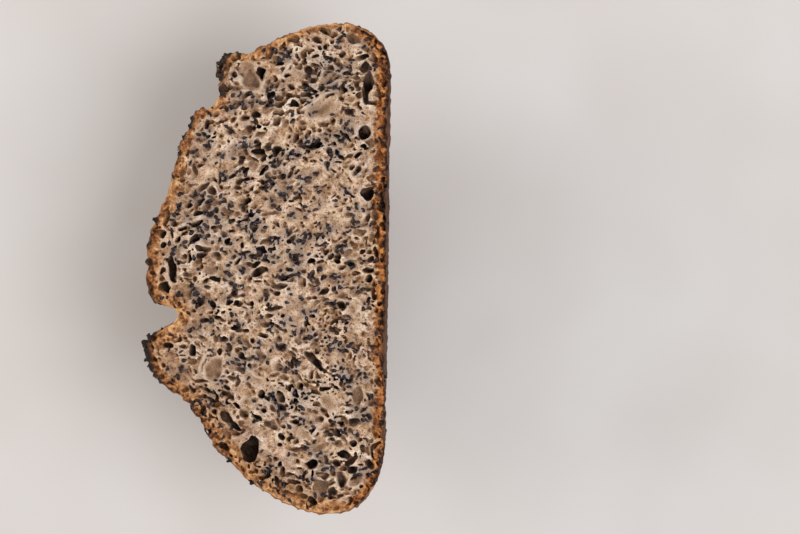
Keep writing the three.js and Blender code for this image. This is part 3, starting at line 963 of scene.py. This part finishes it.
STRAY_DRIFT = ((7, 5, 9), 41)
STRAY_PULL = 0.8
STRAY_DEPTH = 1.2
# a seed alone keeps near its place, and a large clump spreads
CLUMP_SPARED = 0.8
SESAME_SEED = 8

draw = np.random.default_rng(SESAME_SEED)
seed_x = []
seed_y = []
for height, across, count in SEED_CLUMPS:
    x = base_x - height
    i = int(np.clip((x - slab_axes[0][0]) / FINE_STEP, 0, slab_shape[0] - 1))
    j = int(np.clip((across - slab_axes[1][0]) / FINE_STEP, 0, slab_shape[1] - 1))
    spread = math.sqrt(count - CLUMP_SPARED)
    along, aside = draw.standard_normal((2, count)) * CLUMP_REACH * spread
    along *= CLUMP_STRETCH
    cos, sin = math.cos(long_side[i, j]), math.sin(long_side[i, j])
    seed_x.extend(x + cos * along - sin * aside)
    seed_y.extend(across + sin * along + cos * aside)
clumped = len(seed_x)

drifts = noise(face_axes, *STRAY_DRIFT)[:, :, 0]
chance = np.exp(STRAY_PULL * drifts) * (face_depth > STRAY_DEPTH)
cells = draw.choice(chance.size, STRAY_SEEDS, replace=False, p=(chance / chance.sum()).ravel())
stray_i, stray_j = np.unravel_index(cells, chance.shape)
seed_x.extend(slab_axes[0][stray_i])
seed_y.extend(slab_axes[1][stray_j])
print("seeds in clumps:", clumped, "stray:", STRAY_SEEDS)

# %% Setting the seeds into the crumb
# how far a seed's middle lies above the surface, and how far round it the dough is greyer
SEED_RISE = (-0.6, 0.2)
SEED_HALO = 1.6
# no seed lies nearer the outside than this, nor on the floor of a bubble so deep and wide
LEAST_DEPTH = 0.8
FLOOR_DEPTH = 1.6
FLOOR_HALF_WIDTH = 1.4
SEED_TURN = 0.9
SEED_TILT = 0.3
HIGHEST_SEED = 0.1
CRUMB_SEED_SIZES = (0.78, 1.14)
CRUMB_SEED_LEAN = 0.4


def nearest_cells(places, axis):
    numbers = np.round((np.array(places) - axis[0]) / FINE_STEP).astype(int)
    return np.clip(numbers, 0, len(axis) - 1)


seed_i = nearest_cells(seed_x, slab_axes[0])
seed_j = nearest_cells(seed_y, slab_axes[1])
inside = face_depth[seed_i, seed_j] > LEAST_DEPTH
floor_of_bubble = (cut_z - surface_level > FLOOR_DEPTH) & (bubble_size[:, :, face_layer] > FLOOR_HALF_WIDTH)
inside &= ~floor_of_bubble[seed_i, seed_j]
seed_i, seed_j = seed_i[inside], seed_j[inside]
count = len(seed_i)
angle = long_side[seed_i, seed_j] + draw.normal(0, SEED_TURN, count)
direction = np.stack([np.cos(angle), np.sin(angle), draw.normal(0, SEED_TILT, count)], 1)
level = surface_level[seed_i, seed_j] + draw.uniform(*SEED_RISE, count)
level = np.minimum(level, cut_z + HIGHEST_SEED)
centres = np.stack([slab_axes[0][seed_i], slab_axes[1][seed_j], level], 1)
sizes = draw.uniform(*CRUMB_SEED_SIZES, (count, 3))
up = np.tile([0.0, 0.0, 1.0], (count, 1))
seed_axes = lying_axes(direction, up, CRUMB_SEED_LEAN, draw)
crumb_seeds = joined_copies("crumb_seeds", seed_shape(), centres, seed_axes, sizes)
seed_map = np.zeros(face_depth.shape)
np.add.at(seed_map, (seed_i, seed_j), 1.0)
seeds_about = np.repeat(blur_map(seed_map, SEED_HALO)[:, :, None], 2, axis=2)
mark(crumb, "seeds_about", read_at(seeds_about, flat_axes, crumb_places))
print("seeds in the crumb:", count, "faces:", len(crumb_seeds.data.polygons))

# %% Seeds on the crust
CRUST_SEEDS = 620
CRUST_SEED_SINK = 0.4
# points of a mesh that count as outer skin: how near the crust's surface, and between which heights
SKIN_DEPTH = 0.35
SKIN_HEIGHTS = (3.0, cut_z - 1.0)
SPARSE_NEAR_BASE = (1.0, 16.0)
SPARSEST = 0.15
SPOT_DRIFT = (14.0, 42)
SPOT_PULL = 0.7
CRUST_SEED_SIZES = (0.82, 1.1)
CRUST_SEED_LEAN = 0.15


def crust_spots(piece, places):
    """Points of the outer skin, with their normals."""
    normals = np.empty(3 * len(places), np.float32)
    piece.data.vertices.foreach_get("normal", normals)
    depth = np.empty(len(places), np.float32)
    piece.data.attributes["crust_depth"].data.foreach_get("value", depth)
    low_end, high_end = SKIN_HEIGHTS
    skin = (np.abs(depth) < SKIN_DEPTH) & (places[:, 2] < high_end) & (places[:, 2] > low_end)
    return places[skin], normals.reshape(-1, 3)[skin]


spots, spot_normals = (np.concatenate(both) for both in zip(
    crust_spots(crumb, crumb_places), crust_spots(crust, crust_places)))
off_the_base = smooth_step(base_x - spots[:, 0], *SPARSE_NEAR_BASE)
spot_drift = noise([spots[:, 0], spots[:, 1][:1], spots[:, 2][:1]], *SPOT_DRIFT).ravel()
spot_chance = (SPARSEST + (1 - SPARSEST) * off_the_base) * np.exp(SPOT_PULL * spot_drift)
chosen = draw.choice(len(spots), CRUST_SEEDS, replace=False, p=spot_chance / spot_chance.sum())
direction = unit(draw.standard_normal((CRUST_SEEDS, 3)))
up = spot_normals[chosen]
centres = spots[chosen] + up * (0.5 * SEED_THICKNESS - CRUST_SEED_SINK)
sizes = draw.uniform(*CRUST_SEED_SIZES, (CRUST_SEEDS, 3))
seed_axes = lying_axes(direction, up, CRUST_SEED_LEAN, draw)
crust_seeds = joined_copies("crust_seeds", seed_shape(), centres, seed_axes, sizes)
print("seeds on the crust:", CRUST_SEEDS, "faces:", len(crust_seeds.data.polygons))

# %% [markdown]
# ## Finishes
# Every finish is a small tree of nodes: noises and cell patterns whose scale is a size in
# millimetres, read at the place on the object, and the marks that the points carry. One function
# adds a node with its settings and links, and another turns the usual hex colours to the linear
# light that the renderer adds and multiplies.

# %% Colours and nodes
# settings that many nodes share, and the sockets of a node that mixes two colours
COLOURS = {"data_type": "RGBA"}
TINT = {"data_type": "RGBA", "blend_type": "MULTIPLY"}
TIMES = {"operation": "MULTIPLY"}
TIMES_PLUS = {"operation": "MULTIPLY_ADD"}
SHARE, UNDER, OVER = 0, 6, 7


def linear(code):
    """The linear light of an sRGB hex colour, by the curve that the sRGB standard gives."""
    levels = [int(code[n:n + 2], 16) / 255 for n in (0, 2, 4)]
    return [v / 12.92 if v <= 0.04045 else ((v + 0.055) / 1.055) ** 2.4 for v in levels] + [1.0]


def add(tree, kind, sockets, stops=(), **settings):
    """One node, with the values or links of its sockets and the stops of a colour ramp.

    A socket is linked to an output, or to the first output in use of a node.
    """
    made = tree.nodes.new("ShaderNode" + kind)
    for name, value in settings.items():
        setattr(made, name, value)
    for socket, value in sockets.items():
        if isinstance(value, bpy.types.Node):
            value = next(output for output in value.outputs if output.enabled)
        if isinstance(value, bpy.types.NodeSocket):
            tree.links.new(value, made.inputs[socket])
        else:
            made.inputs[socket].default_value = value
    for number, (position, code) in enumerate(stops):
        elements = made.color_ramp.elements
        stop = elements[number] if number < 2 else elements.new(position)
        stop.position = position
        stop.color = linear(code)
    return made


def new_finish(name):
    finish = bpy.data.materials.new(name)
    finish.use_nodes = True
    finish.node_tree.nodes.clear()
    where = add(finish.node_tree, "TexCoord", {}).outputs["Object"]
    return finish, finish.node_tree, where


def every(size):
    """The scale of a pattern whose marks are that many millimetres apart."""
    return (1 / MM) / size


print("linear light of a middle grey:", round(linear("808080")[0], 3))

# %% [markdown]
# ## Baked crust
# A sourdough crust is caramelised starch and protein: golden where it stayed thin and cool, orange
# brown on the flanks, mahogany on the blisters, and charcoal on the ears, which reach nearest to the
# oven's heat. It is hard and dry with a slight gloss where sugars set. How far it is baked is one
# number made from broad patches, blisters and how far the crust stands out, and a ramp gives that
# number its colour. A painted picture would have to be fitted round the loaf; noises read at the
# place on it need no fitting. The skirt of the crumb piece wears the same skin, so one function
# makes it for both.

# %% The skin of the crust
SKIN_STOPS = [(0.0, "d8ac76"), (0.2, "bd834c"), (0.38, "8f5a30"), (0.55, "673f26"), (0.75, "41291c"),
              (1.0, "1a120e")]
# the skin's own pores are finer, and are drawn as coarse as this to show
PORE_MM = 0.9
BLOTCH_MM = 3.2
PATCH_MM = 13.0
PATCH_HEAT = 0.75
BLOTCH_HEAT = 0.65
PORE_HEAT = 0.3
CHAR_HEAT = 0.8
RAGGED = 1.4
# how far from the base the stone's heat reached, what it adds, and how much it evens out the rest
STONE_REACH = (5, 1)
STONE_HEAT = 0.55
STONE_EVENS = 0.8
BLISTER_RELIEF = 0.0009


def crust_skin(tree, where):
    """The nodes with the skin's colour, roughness and relief."""
    patches = add(tree, "TexNoise", {"Vector": where, "Scale": every(PATCH_MM), "Detail": 3.0})
    blotches = add(tree, "TexNoise", {"Vector": where, "Scale": every(BLOTCH_MM), "Detail": 4.0,
                                      "Roughness": 0.6})
    pores = add(tree, "TexNoise", {"Vector": where, "Scale": every(PORE_MM), "Detail": 3.0,
                                   "Roughness": 0.7})
    proud = add(tree, "Attribute", {}, attribute_name="stands_out").outputs["Fac"]
    heat = add(tree, "MapRange", {"Value": proud, "From Min": -2.5, "From Max": 2.2,
                                  "To Min": -0.55, "To Max": 0.15})
    # char has a ragged edge, broken up by the blotches
    burnt = add(tree, "Attribute", {}, attribute_name="char").outputs["Fac"]
    broken = add(tree, "Math", {0: blotches, 1: RAGGED, 2: burnt}, **TIMES_PLUS)
    ragged = add(tree, "MapRange", {"Value": broken, "From Min": 1.0, "From Max": 1.5})
    for source, amount in ((ragged, CHAR_HEAT), (patches, PATCH_HEAT), (blotches, BLOTCH_HEAT),
                           (pores, PORE_HEAT)):
        heat = add(tree, "Math", {0: source, 1: amount, 2: heat}, **TIMES_PLUS)
    baked = add(tree, "MapRange", {"Value": heat, "From Min": 0.3, "From Max": 1.3})
    # the base lay on hot stone and is darker all over
    place_x = add(tree, "SeparateXYZ", {0: where}).outputs["X"]
    far, near = ((base_x - height) * MM for height in STONE_REACH)
    stone = add(tree, "MapRange", {"Value": place_x, "From Min": far, "From Max": near,
                                   "To Max": STONE_HEAT})
    evened = add(tree, "Math", {0: stone, 1: -STONE_EVENS, 2: 1.0}, **TIMES_PLUS)
    baked = add(tree, "Math", {0: baked, 1: evened, 2: stone}, use_clamp=True, **TIMES_PLUS)
    colour = add(tree, "ValToRGB", {"Fac": baked}, SKIN_STOPS)
    rough = add(tree, "MapRange", {"Value": blotches, "From Min": 0.3, "From Max": 0.7,
                                   "To Min": 0.55, "To Max": 0.85})
    relief = add(tree, "Math", {0: pores, 1: 0.5, 2: blotches}, **TIMES_PLUS)
    return colour, rough, relief


baked_crust, tree, where = new_finish("baked_crust")
skin_colour, skin_rough, skin_relief = crust_skin(tree, where)
bump = add(tree, "Bump", {"Height": skin_relief, "Strength": 0.7, "Distance": BLISTER_RELIEF})
shader = add(tree, "BsdfPrincipled", {"Base Color": skin_colour, "Roughness": skin_rough, "IOR": 1.5,
                                      "Normal": bump, "Specular IOR Level": 0.3})
add(tree, "OutputMaterial", {"Surface": shader})
print("baked crust nodes:", len(tree.nodes))

# %% [markdown]
# ## Sourdough crumb
# Crumb is set foam: matt where the knife tore its walls, faintly glossy and greyer inside the
# bubbles, where the gluten set smooth. Ground sesame tints this dough a pinkish grey beige. Towards
# the crust it dries to yellow, then orange brown. Down in its bubbles it is painted browner and
# darker, the lower and narrower the darker: painted shade, laid over the shade that the mesh gives
# itself, and pores too small for the mesh get painted shade in their middles. Every bubble wide
# enough to be seen is in the mesh, and the tree adds what is finer. It begins with the bread's own
# tone and lays one tint after another over it.

# %% The tone of the bread: wide drifts, folds and single cell walls
# single cell walls are thinner than half a millimetre, and are drawn as coarse as this to show
WALL_MM = 0.8
FOLD_MM = 2.4
HUE_MM = 3.0
DRIFT_MM = 9.0

crumb_finish, tree, where = new_finish("sourdough_crumb")
skin_colour, skin_rough, skin_relief = crust_skin(tree, where)
drift = add(tree, "TexNoise", {"Vector": where, "Scale": every(DRIFT_MM), "Detail": 2.0})
folds = add(tree, "TexNoise", {"Vector": where, "Scale": every(FOLD_MM), "Detail": 3.0, "Roughness": 0.6})
grain = add(tree, "TexNoise", {"Vector": where, "Scale": every(WALL_MM), "Detail": 2.0, "Roughness": 0.6})
tone = add(tree, "Math", {0: drift, 1: 0.5, 2: folds}, **TIMES_PLUS)
dough = add(tree, "ValToRGB", {"Fac": tone},
            [(0.5, "d8b89a"), (0.62, "edd1b6"), (0.75, "f3dcc5"), (0.88, "f8e8d8")])
tint = add(tree, "ValToRGB", {"Fac": drift.outputs["Color"]},
           [(0.35, "e4cfa6"), (0.5, "ffffff"), (0.65, "e4d4d8")])
bread_colour = add(tree, "Mix", {SHARE: 0.35, UNDER: dough, OVER: tint}, **TINT)
hues = add(tree, "TexNoise", {"Vector": where, "Scale": every(HUE_MM), "Detail": 2.0}).outputs["Color"]
bread_colour = add(tree, "Mix", {SHARE: 0.12, UNDER: bread_colour, OVER: hues},
                   data_type="RGBA", blend_type="OVERLAY")
walls = add(tree, "ValToRGB", {"Fac": grain}, [(0.3, "9a8a7e"), (0.5, "e2dcd6"), (0.7, "ffffff")])
print("nodes so far:", len(tree.nodes))

# %% Pin-head cells and clouds
# pin-head cells, too small for the mesh, lie closer than half a millimetre; these are drawn coarser
CELL_MM = 1.1
# broad clouds, where the dough was denser or held more ground seed
CLOUD_MM = 4.5

cells = add(tree, "TexVoronoi", {"Vector": where, "Scale": every(CELL_MM), "Randomness": 1.0})
# painted shade: each cell is painted darker in its middle, where a pore too small for the mesh would hold
# shade
pore_shade = add(tree, "ValToRGB", {"Fac": cells}, [(0.1, "4c3a2c"), (0.32, "a39182"), (0.45, "ffffff")])
clouds = add(tree, "TexNoise", {"Vector": where, "Scale": every(CLOUD_MM), "Detail": 1.0})
cloudy = add(tree, "ValToRGB", {"Fac": clouds}, [(0.36, "a39489"), (0.5, "e2dbd4"), (0.6, "ffffff")])
for share, colour in ((0.5, walls), (0.5, pore_shade), (0.55, cloudy)):
    bread_colour = add(tree, "Mix", {SHARE: share, UNDER: bread_colour, OVER: colour}, **TINT)
print("nodes so far:", len(tree.nodes))

# %% The lining of the bubbles, and the dough round the seeds
# half widths of bubbles that begin to have a lining and that are lined all over
LINED = (1.2, 2.4)

# the smooth lining of the wide bubbles
width = add(tree, "Attribute", {}, attribute_name="bubble_width").outputs["Fac"]
start, full = LINED
lined = add(tree, "MapRange", {"Value": width, "From Min": start, "From Max": full, "To Max": 0.7})
bread_colour = add(tree, "Mix", {SHARE: lined, UNDER: bread_colour, OVER: linear("d0bcab")}, **COLOURS)
# greyer where seeds lie thick, because some were ground in with the flour
seeds_near = add(tree, "Attribute", {}, attribute_name="seeds_about").outputs["Fac"]
ground = add(tree, "Math", {0: seeds_near, 1: grain}, **TIMES)
smear = add(tree, "MapRange", {"Value": ground, "From Min": 0.25, "From Max": 1.1, "To Max": 0.55})
bread_colour = add(tree, "Mix", {SHARE: smear, UNDER: bread_colour, OVER: linear("6a5e5c")}, **COLOURS)
print("nodes so far:", len(tree.nodes))

# %% Painted shade, darker with depth
# how far a place lies below the level of the ridges round it, in millimetres, and the painted shade it is
# multiplied by there
PAINTED_SHADE_STOPS = [(0.0, "ffffff"), (0.5, "f0e8e0"), (1.0, "dccbba"), (1.6, "b49c84"), (2.5, "705a46"),
                 (4.0, "2e2016"), (7.0, "140d08")]
HOLLOW_SPAN = 8.5
RIDGE_HEIGHT = 0.5

hollow = add(tree, "Attribute", {}, attribute_name="hollow").outputs["Fac"]
# a ridge lies above the bread round it, so its hollow is negative and starts the ramp untinted: a painted
# highlight, lighter than the painted shade round it
sunk = add(tree, "Math", {0: hollow, 1: 1.0 / HOLLOW_SPAN, 2: RIDGE_HEIGHT / HOLLOW_SPAN}, **TIMES_PLUS)
stops = [(level / HOLLOW_SPAN, code) for level, code in PAINTED_SHADE_STOPS]
painted_shade = add(tree, "ValToRGB", {"Fac": sunk}, stops)
bread_colour = add(tree, "Mix", {SHARE: 1.0, UNDER: bread_colour, OVER: painted_shade}, **TINT)
# a smooth lining stays greyer than torn crumb, but neither at the rim nor in the deepest places; at middle
# depths this grey is mixed over the painted shade, so it is partly the lining's own colour and partly a
# greyer painted shade
not_deep = add(tree, "MapRange", {"Value": hollow, "From Min": 1.8, "From Max": 3.4, "To Min": 0.45,
                                  "To Max": 0.0})
not_shallow = add(tree, "MapRange", {"Value": hollow, "From Min": 0.7, "From Max": 2.0})
silk = add(tree, "Math", {0: not_deep, 1: not_shallow}, **TIMES)
silk = add(tree, "Math", {0: lined, 1: silk}, **TIMES)
bread_colour = add(tree, "Mix", {SHARE: silk, UNDER: bread_colour, OVER: linear("7e6e64")}, **COLOURS)
print("nodes so far:", len(tree.nodes))

# %% The dome's flank, and specks of ground sesame
# where the flank's browning starts and is full: across, above the base crust, and inside the crust
FLANK_ACROSS = (40, -100)
FLANK_HEIGHTS = (20, 40)
FLANK_DEPTHS = (18.0, 6.0)
# ground seed is finer than this, and its specks are drawn this far apart to show
SPECK_MM = 1.6
SPECKS_ABOVE = 0.72

# the dome's side dried deeper and browner towards the second end
place_xyz = add(tree, "SeparateXYZ", {0: where})
depth = add(tree, "Attribute", {}, attribute_name="crust_depth").outputs["Fac"]
start, full = (across * MM for across in FLANK_ACROSS)
flank = add(tree, "MapRange", {"Value": place_xyz.outputs["Y"], "From Min": start, "From Max": full})
start, full = ((base_x - height) * MM for height in FLANK_HEIGHTS)
dome_side = add(tree, "MapRange", {"Value": place_xyz.outputs["X"], "From Min": start, "From Max": full})
start, full = FLANK_DEPTHS
drier = add(tree, "MapRange", {"Value": depth, "From Min": start, "From Max": full, "To Max": 0.8})
flank = add(tree, "Math", {0: flank, 1: dome_side}, **TIMES)
flank = add(tree, "Math", {0: flank, 1: drier}, **TIMES)
bread_colour = add(tree, "Mix", {SHARE: flank, UNDER: bread_colour, OVER: linear("b89c7c")}, **TINT)
# only the cells with a high random number hold a speck
specks = add(tree, "TexVoronoi", {"Vector": where, "Scale": every(SPECK_MM), "Randomness": 1.0})
speck = add(tree, "ValToRGB", {"Fac": specks}, [(0.12, "ffffff"), (0.2, "000000")])
held = add(tree, "Math", {0: specks.outputs["Color"], 1: SPECKS_ABOVE}, operation="GREATER_THAN")
speck = add(tree, "Math", {0: speck, 1: held}, **TIMES)
bread_colour = add(tree, "Mix", {SHARE: speck, UNDER: bread_colour, OVER: linear("2c2622")}, **COLOURS)
print("nodes so far:", len(tree.nodes))

# %% The section of the crust
# depth in the crust in millimetres, and the colour there
DOME_TOAST = [(0.0, "3a2416"), (0.4, "7c5030"), (0.9, "a87242"), (1.9, "bd8552"), (3.4, "b4855a"),
              (5.2, "b48e66"), (7.4, "bc9c78")]
BASE_TOAST = [(0.0, "1c100a"), (0.7, "301e13"), (1.4, "5c3a22"), (2.1, "a06a36"), (3.2, "d08c4e"),
              (5.4, "c8925c"), (8.4, "bc9a70")]
# white where all is toast and black where all is crumb
DOME_STOPS = [(2.6, "ffffff"), (4.6, "909090"), (8.6, "000000")]
BASE_STOPS = [(4.8, "ffffff"), (6.6, "909090"), (8.9, "000000")]
CRUST_BAND = 9.0
WAVES = 1.7
# from where to where across the face the reading of the depth changes, and by how many times
DOME_BAKED_DEEPER = (60, 20, 0.68)
BASE_BAKED_LESS = (-20, -55, 1.35)
BASE_ZONE = (20, 11)

wavy = add(tree, "MapRange", {"Value": tone, "From Min": 0.5, "From Max": 1.0,
                              "To Min": -WAVES, "To Max": WAVES})
wavy_depth = add(tree, "Math", {0: depth, 1: wavy}, operation="ADD")
ramps = []
# the dome's crust is thin and orange; the base baked longer on hot stone, darker and thicker
for (start, end, times), toast_stops, share_stops in (
        (DOME_BAKED_DEEPER, DOME_TOAST, DOME_STOPS), (BASE_BAKED_LESS, BASE_TOAST, BASE_STOPS)):
    along = add(tree, "MapRange", {"Value": place_xyz.outputs["Y"], "From Min": start * MM,
                                   "From Max": end * MM, "To Min": 1.0 / CRUST_BAND,
                                   "To Max": times / CRUST_BAND})
    band = add(tree, "Math", {0: wavy_depth, 1: along}, **TIMES)
    for stops in (toast_stops, share_stops):
        stops = [(place / CRUST_BAND, code) for place, code in stops]
        ramps.append(add(tree, "ValToRGB", {"Fac": band}, stops))
dome_toast, dome_share, base_toast, base_share = ramps
start, full = ((base_x - height) * MM for height in BASE_ZONE)
at_base = add(tree, "MapRange", {"Value": place_xyz.outputs["X"], "From Min": start, "From Max": full})
toast = add(tree, "Mix", {SHARE: at_base, UNDER: dome_toast, OVER: base_toast}, **COLOURS)
toasted = add(tree, "Mix", {SHARE: at_base, UNDER: dome_share, OVER: base_share}, **COLOURS)
print("nodes so far:", len(tree.nodes))

# %% Paler and scorched places in the toast
PALE_ENDS = (80, 100)
SCORE_TORE = (-1.2, -2.4)

# both ends stayed paler, and so did the walls of the open score, which tore late
start, full = (across * MM for across in PALE_ENDS)
from_middle = add(tree, "Math", {0: place_xyz.outputs["Y"]}, operation="ABSOLUTE")
pale_end = add(tree, "MapRange", {"Value": from_middle, "From Min": start, "From Max": full, "To Max": 0.8})
stands = add(tree, "Attribute", {}, attribute_name="stands_out").outputs["Fac"]
start, full = SCORE_TORE
late = add(tree, "MapRange", {"Value": stands, "From Min": start, "From Max": full, "To Max": 0.85})
pale = add(tree, "Math", {0: pale_end, 1: late}, operation="MAXIMUM")
pale = add(tree, "Math", {0: pale, 1: at_base}, operation="SUBTRACT", use_clamp=True)
toast = add(tree, "Mix", {SHARE: pale, UNDER: toast, OVER: linear("e8b682")}, **COLOURS)
scorch = add(tree, "ValToRGB", {"Fac": folds}, [(0.36, "90796a"), (0.5, "dcd2c8"), (0.6, "ffffff")])
# the toast gets its scorch, and the same painted shade and painted pore shade as the bread
for share, colour in ((1.0, scorch), (0.8, painted_shade), (0.4, pore_shade)):
    toast = add(tree, "Mix", {SHARE: share, UNDER: toast, OVER: colour}, **TINT)
bread_colour = add(tree, "Mix", {SHARE: toasted, UNDER: bread_colour, OVER: toast}, **COLOURS)
print("nodes so far:", len(tree.nodes))

# %% Char, the outside of the slab, and the crumb's shader
CHAR_BLACK = 0.9
OUTSIDE = (0.25, 0.7)
CELL_RELIEF = 0.0008

# char is black right through
burnt = add(tree, "Attribute", {}, attribute_name="char").outputs["Fac"]
burnt = add(tree, "Math", {0: burnt, 1: CHAR_BLACK}, **TIMES)
bread_colour = add(tree, "Mix", {SHARE: burnt, UNDER: bread_colour, OVER: linear("120d0a")}, **COLOURS)
# the outside of the slab is crust
skin_end, bread_start = OUTSIDE
outside = add(tree, "MapRange", {"Value": depth, "From Min": skin_end, "From Max": bread_start,
                                 "To Min": 1.0, "To Max": 0.0})
bread_colour = add(tree, "Mix", {SHARE: outside, UNDER: bread_colour, OVER: skin_colour}, **COLOURS)
bread_rough = add(tree, "MapRange", {"Value": lined, "To Min": 0.82, "To Max": 0.5})
bread_rough = add(tree, "Mix", {0: outside, 2: bread_rough, 3: skin_rough})
relief = add(tree, "Math", {0: cells, 1: 0.8, 2: grain}, **TIMES_PLUS)
relief = add(tree, "Mix", {0: outside, 2: relief, 3: skin_relief})
bump = add(tree, "Bump", {"Height": relief, "Strength": 0.9, "Distance": CELL_RELIEF})
shader = add(tree, "BsdfPrincipled", {"Base Color": bread_colour, "Roughness": bread_rough, "Normal": bump,
                                      "IOR": 1.45, "Specular IOR Level": 0.35})
add(tree, "OutputMaterial", {"Surface": shader})
print("sourdough crumb nodes:", len(tree.nodes))

# %% [markdown]
# ## Black sesame hulls
# The hull of a black sesame seed is thin, matt to silky, and near black with a violet cast; oil from
# toasting gives it small highlights. On the crust the oven dried it to a browner black. The two
# differ only in colour, so one function makes both.

# %% The seeds' finish
HULL_MM = 1.1
# the net of ribs on a hull is a tenth of a millimetre wide, and is drawn as coarse as this to show
RIB_MM = 0.5
RIB_RELIEF = 0.0004


def sesame_finish(name, dark, light):
    finish, tree, where = new_finish(name)
    tone = add(tree, "TexNoise", {"Vector": where, "Scale": every(HULL_MM), "Detail": 3.0})
    # the hull's tone differs at random, and its lighter patches also stand in for highlights and shade
    # within a seed: partly painted highlight and painted shade
    colour = add(tree, "ValToRGB", {"Fac": tone}, [(0.38, dark), (0.64, light)])
    rough = add(tree, "MapRange", {"Value": tone, "From Min": 0.3, "From Max": 0.7,
                                   "To Min": 0.22, "To Max": 0.45})
    ribs = add(tree, "TexNoise", {"Vector": where, "Scale": every(RIB_MM), "Detail": 2.0})
    bump = add(tree, "Bump", {"Height": ribs, "Strength": 0.8, "Distance": RIB_RELIEF})
    shader = add(tree, "BsdfPrincipled", {"Base Color": colour, "IOR": 1.4, "Roughness": rough,
                                          "Normal": bump, "Specular IOR Level": 0.2})
    add(tree, "OutputMaterial", {"Surface": shader})
    return finish


crumb_seed_finish = sesame_finish("black_sesame", "060505", "443a40")
crust_seed_finish = sesame_finish("baked_black_sesame", "0c0806", "30231b")

for piece, finish in ((crumb, crumb_finish), (crust, baked_crust), (crumb_seeds, crumb_seed_finish),
                      (crust_seeds, crust_seed_finish)):
    piece.data.materials.clear()
    piece.data.materials.append(finish)
    print(piece.name, "wears", finish.name)

# %% [markdown]
# ## Floor and light
# The loaf lies on a pale, plain, faintly mottled surface. Two soft lamps light it: a wide one stands
# high on the base crust's side and a little towards the second end, as a window would, and a weaker,
# warmer one stands low on the dome's side. The bright room fills the rest, so the bubbles have a lit
# wall and a dark one and the loaf throws hardly any shadow. A sky picture would do as well, but
# lamps of a known size and place are easier to steer.

# %% Floor
FLOOR_SIZE = 6000.0
MOTTLE_MM = 120.0

floor_mesh = bpy.data.meshes.new("floor")
half = 0.5 * FLOOR_SIZE * MM
floor_mesh.from_pydata([(-half, -half, 0), (half, -half, 0), (half, half, 0), (-half, half, 0)], [],
                       [(0, 1, 2, 3)])
floor = into_scene("floor", floor_mesh)
floor_finish, tree, where = new_finish("pale_stone")
mottle = add(tree, "TexNoise", {"Vector": where, "Scale": every(MOTTLE_MM), "Detail": 2.0})
colour = add(tree, "ValToRGB", {"Fac": mottle}, [(0.3, "c4bfbc"), (0.7, "cccac9")])
shader = add(tree, "BsdfPrincipled", {"Base Color": colour, "Roughness": 0.7})
add(tree, "OutputMaterial", {"Surface": shader})
floor_mesh.materials.append(floor_finish)
print("floor, m:", FLOOR_SIZE * MM)

# %% Light
# place and size in metres, power in watts, colour
LAMPS = {"key": ((1.3, -0.4, 2.2), 1.6, 42.0, (0.98, 0.98, 1.0)),
         "fill": ((-1.7, 0.3, 0.7), 1.2, 20.0, (1.0, 0.95, 0.9))}
ROOM_LIGHT = 0.6
ROOM_COLOUR = (1.0, 0.965, 0.93, 1.0)

for name, (lamp_place, size, power, tint) in LAMPS.items():
    lamp_data = bpy.data.lights.new(name, "AREA")
    lamp_data.size = size
    lamp_data.energy = power
    lamp_data.color = tint
    lamp = into_scene(name, lamp_data)
    lamp.location = lamp_place
    lamp.rotation_euler = Vector(lamp_place).to_track_quat("Z", "Y").to_euler()
    print(name, "lamp, W:", power)

world = bpy.data.worlds.new("room")
bpy.context.scene.world = world
world.use_nodes = True
world.node_tree.nodes["Background"].inputs["Color"].default_value = ROOM_COLOUR
world.node_tree.nodes["Background"].inputs["Strength"].default_value = ROOM_LIGHT
bpy.context.scene.view_settings.view_transform = "Standard"

# %% [markdown]
# ## The loaf's body
# Every piece rides on the loaf's one body, and the imported solid is hidden.

# %% Bodies
for piece, slot in ((crumb, "crumb"), (crust, "crust"), (crumb_seeds, "sesame"), (crust_seeds, "sesame")):
    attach(piece, "root")
    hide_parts("half_loaf")
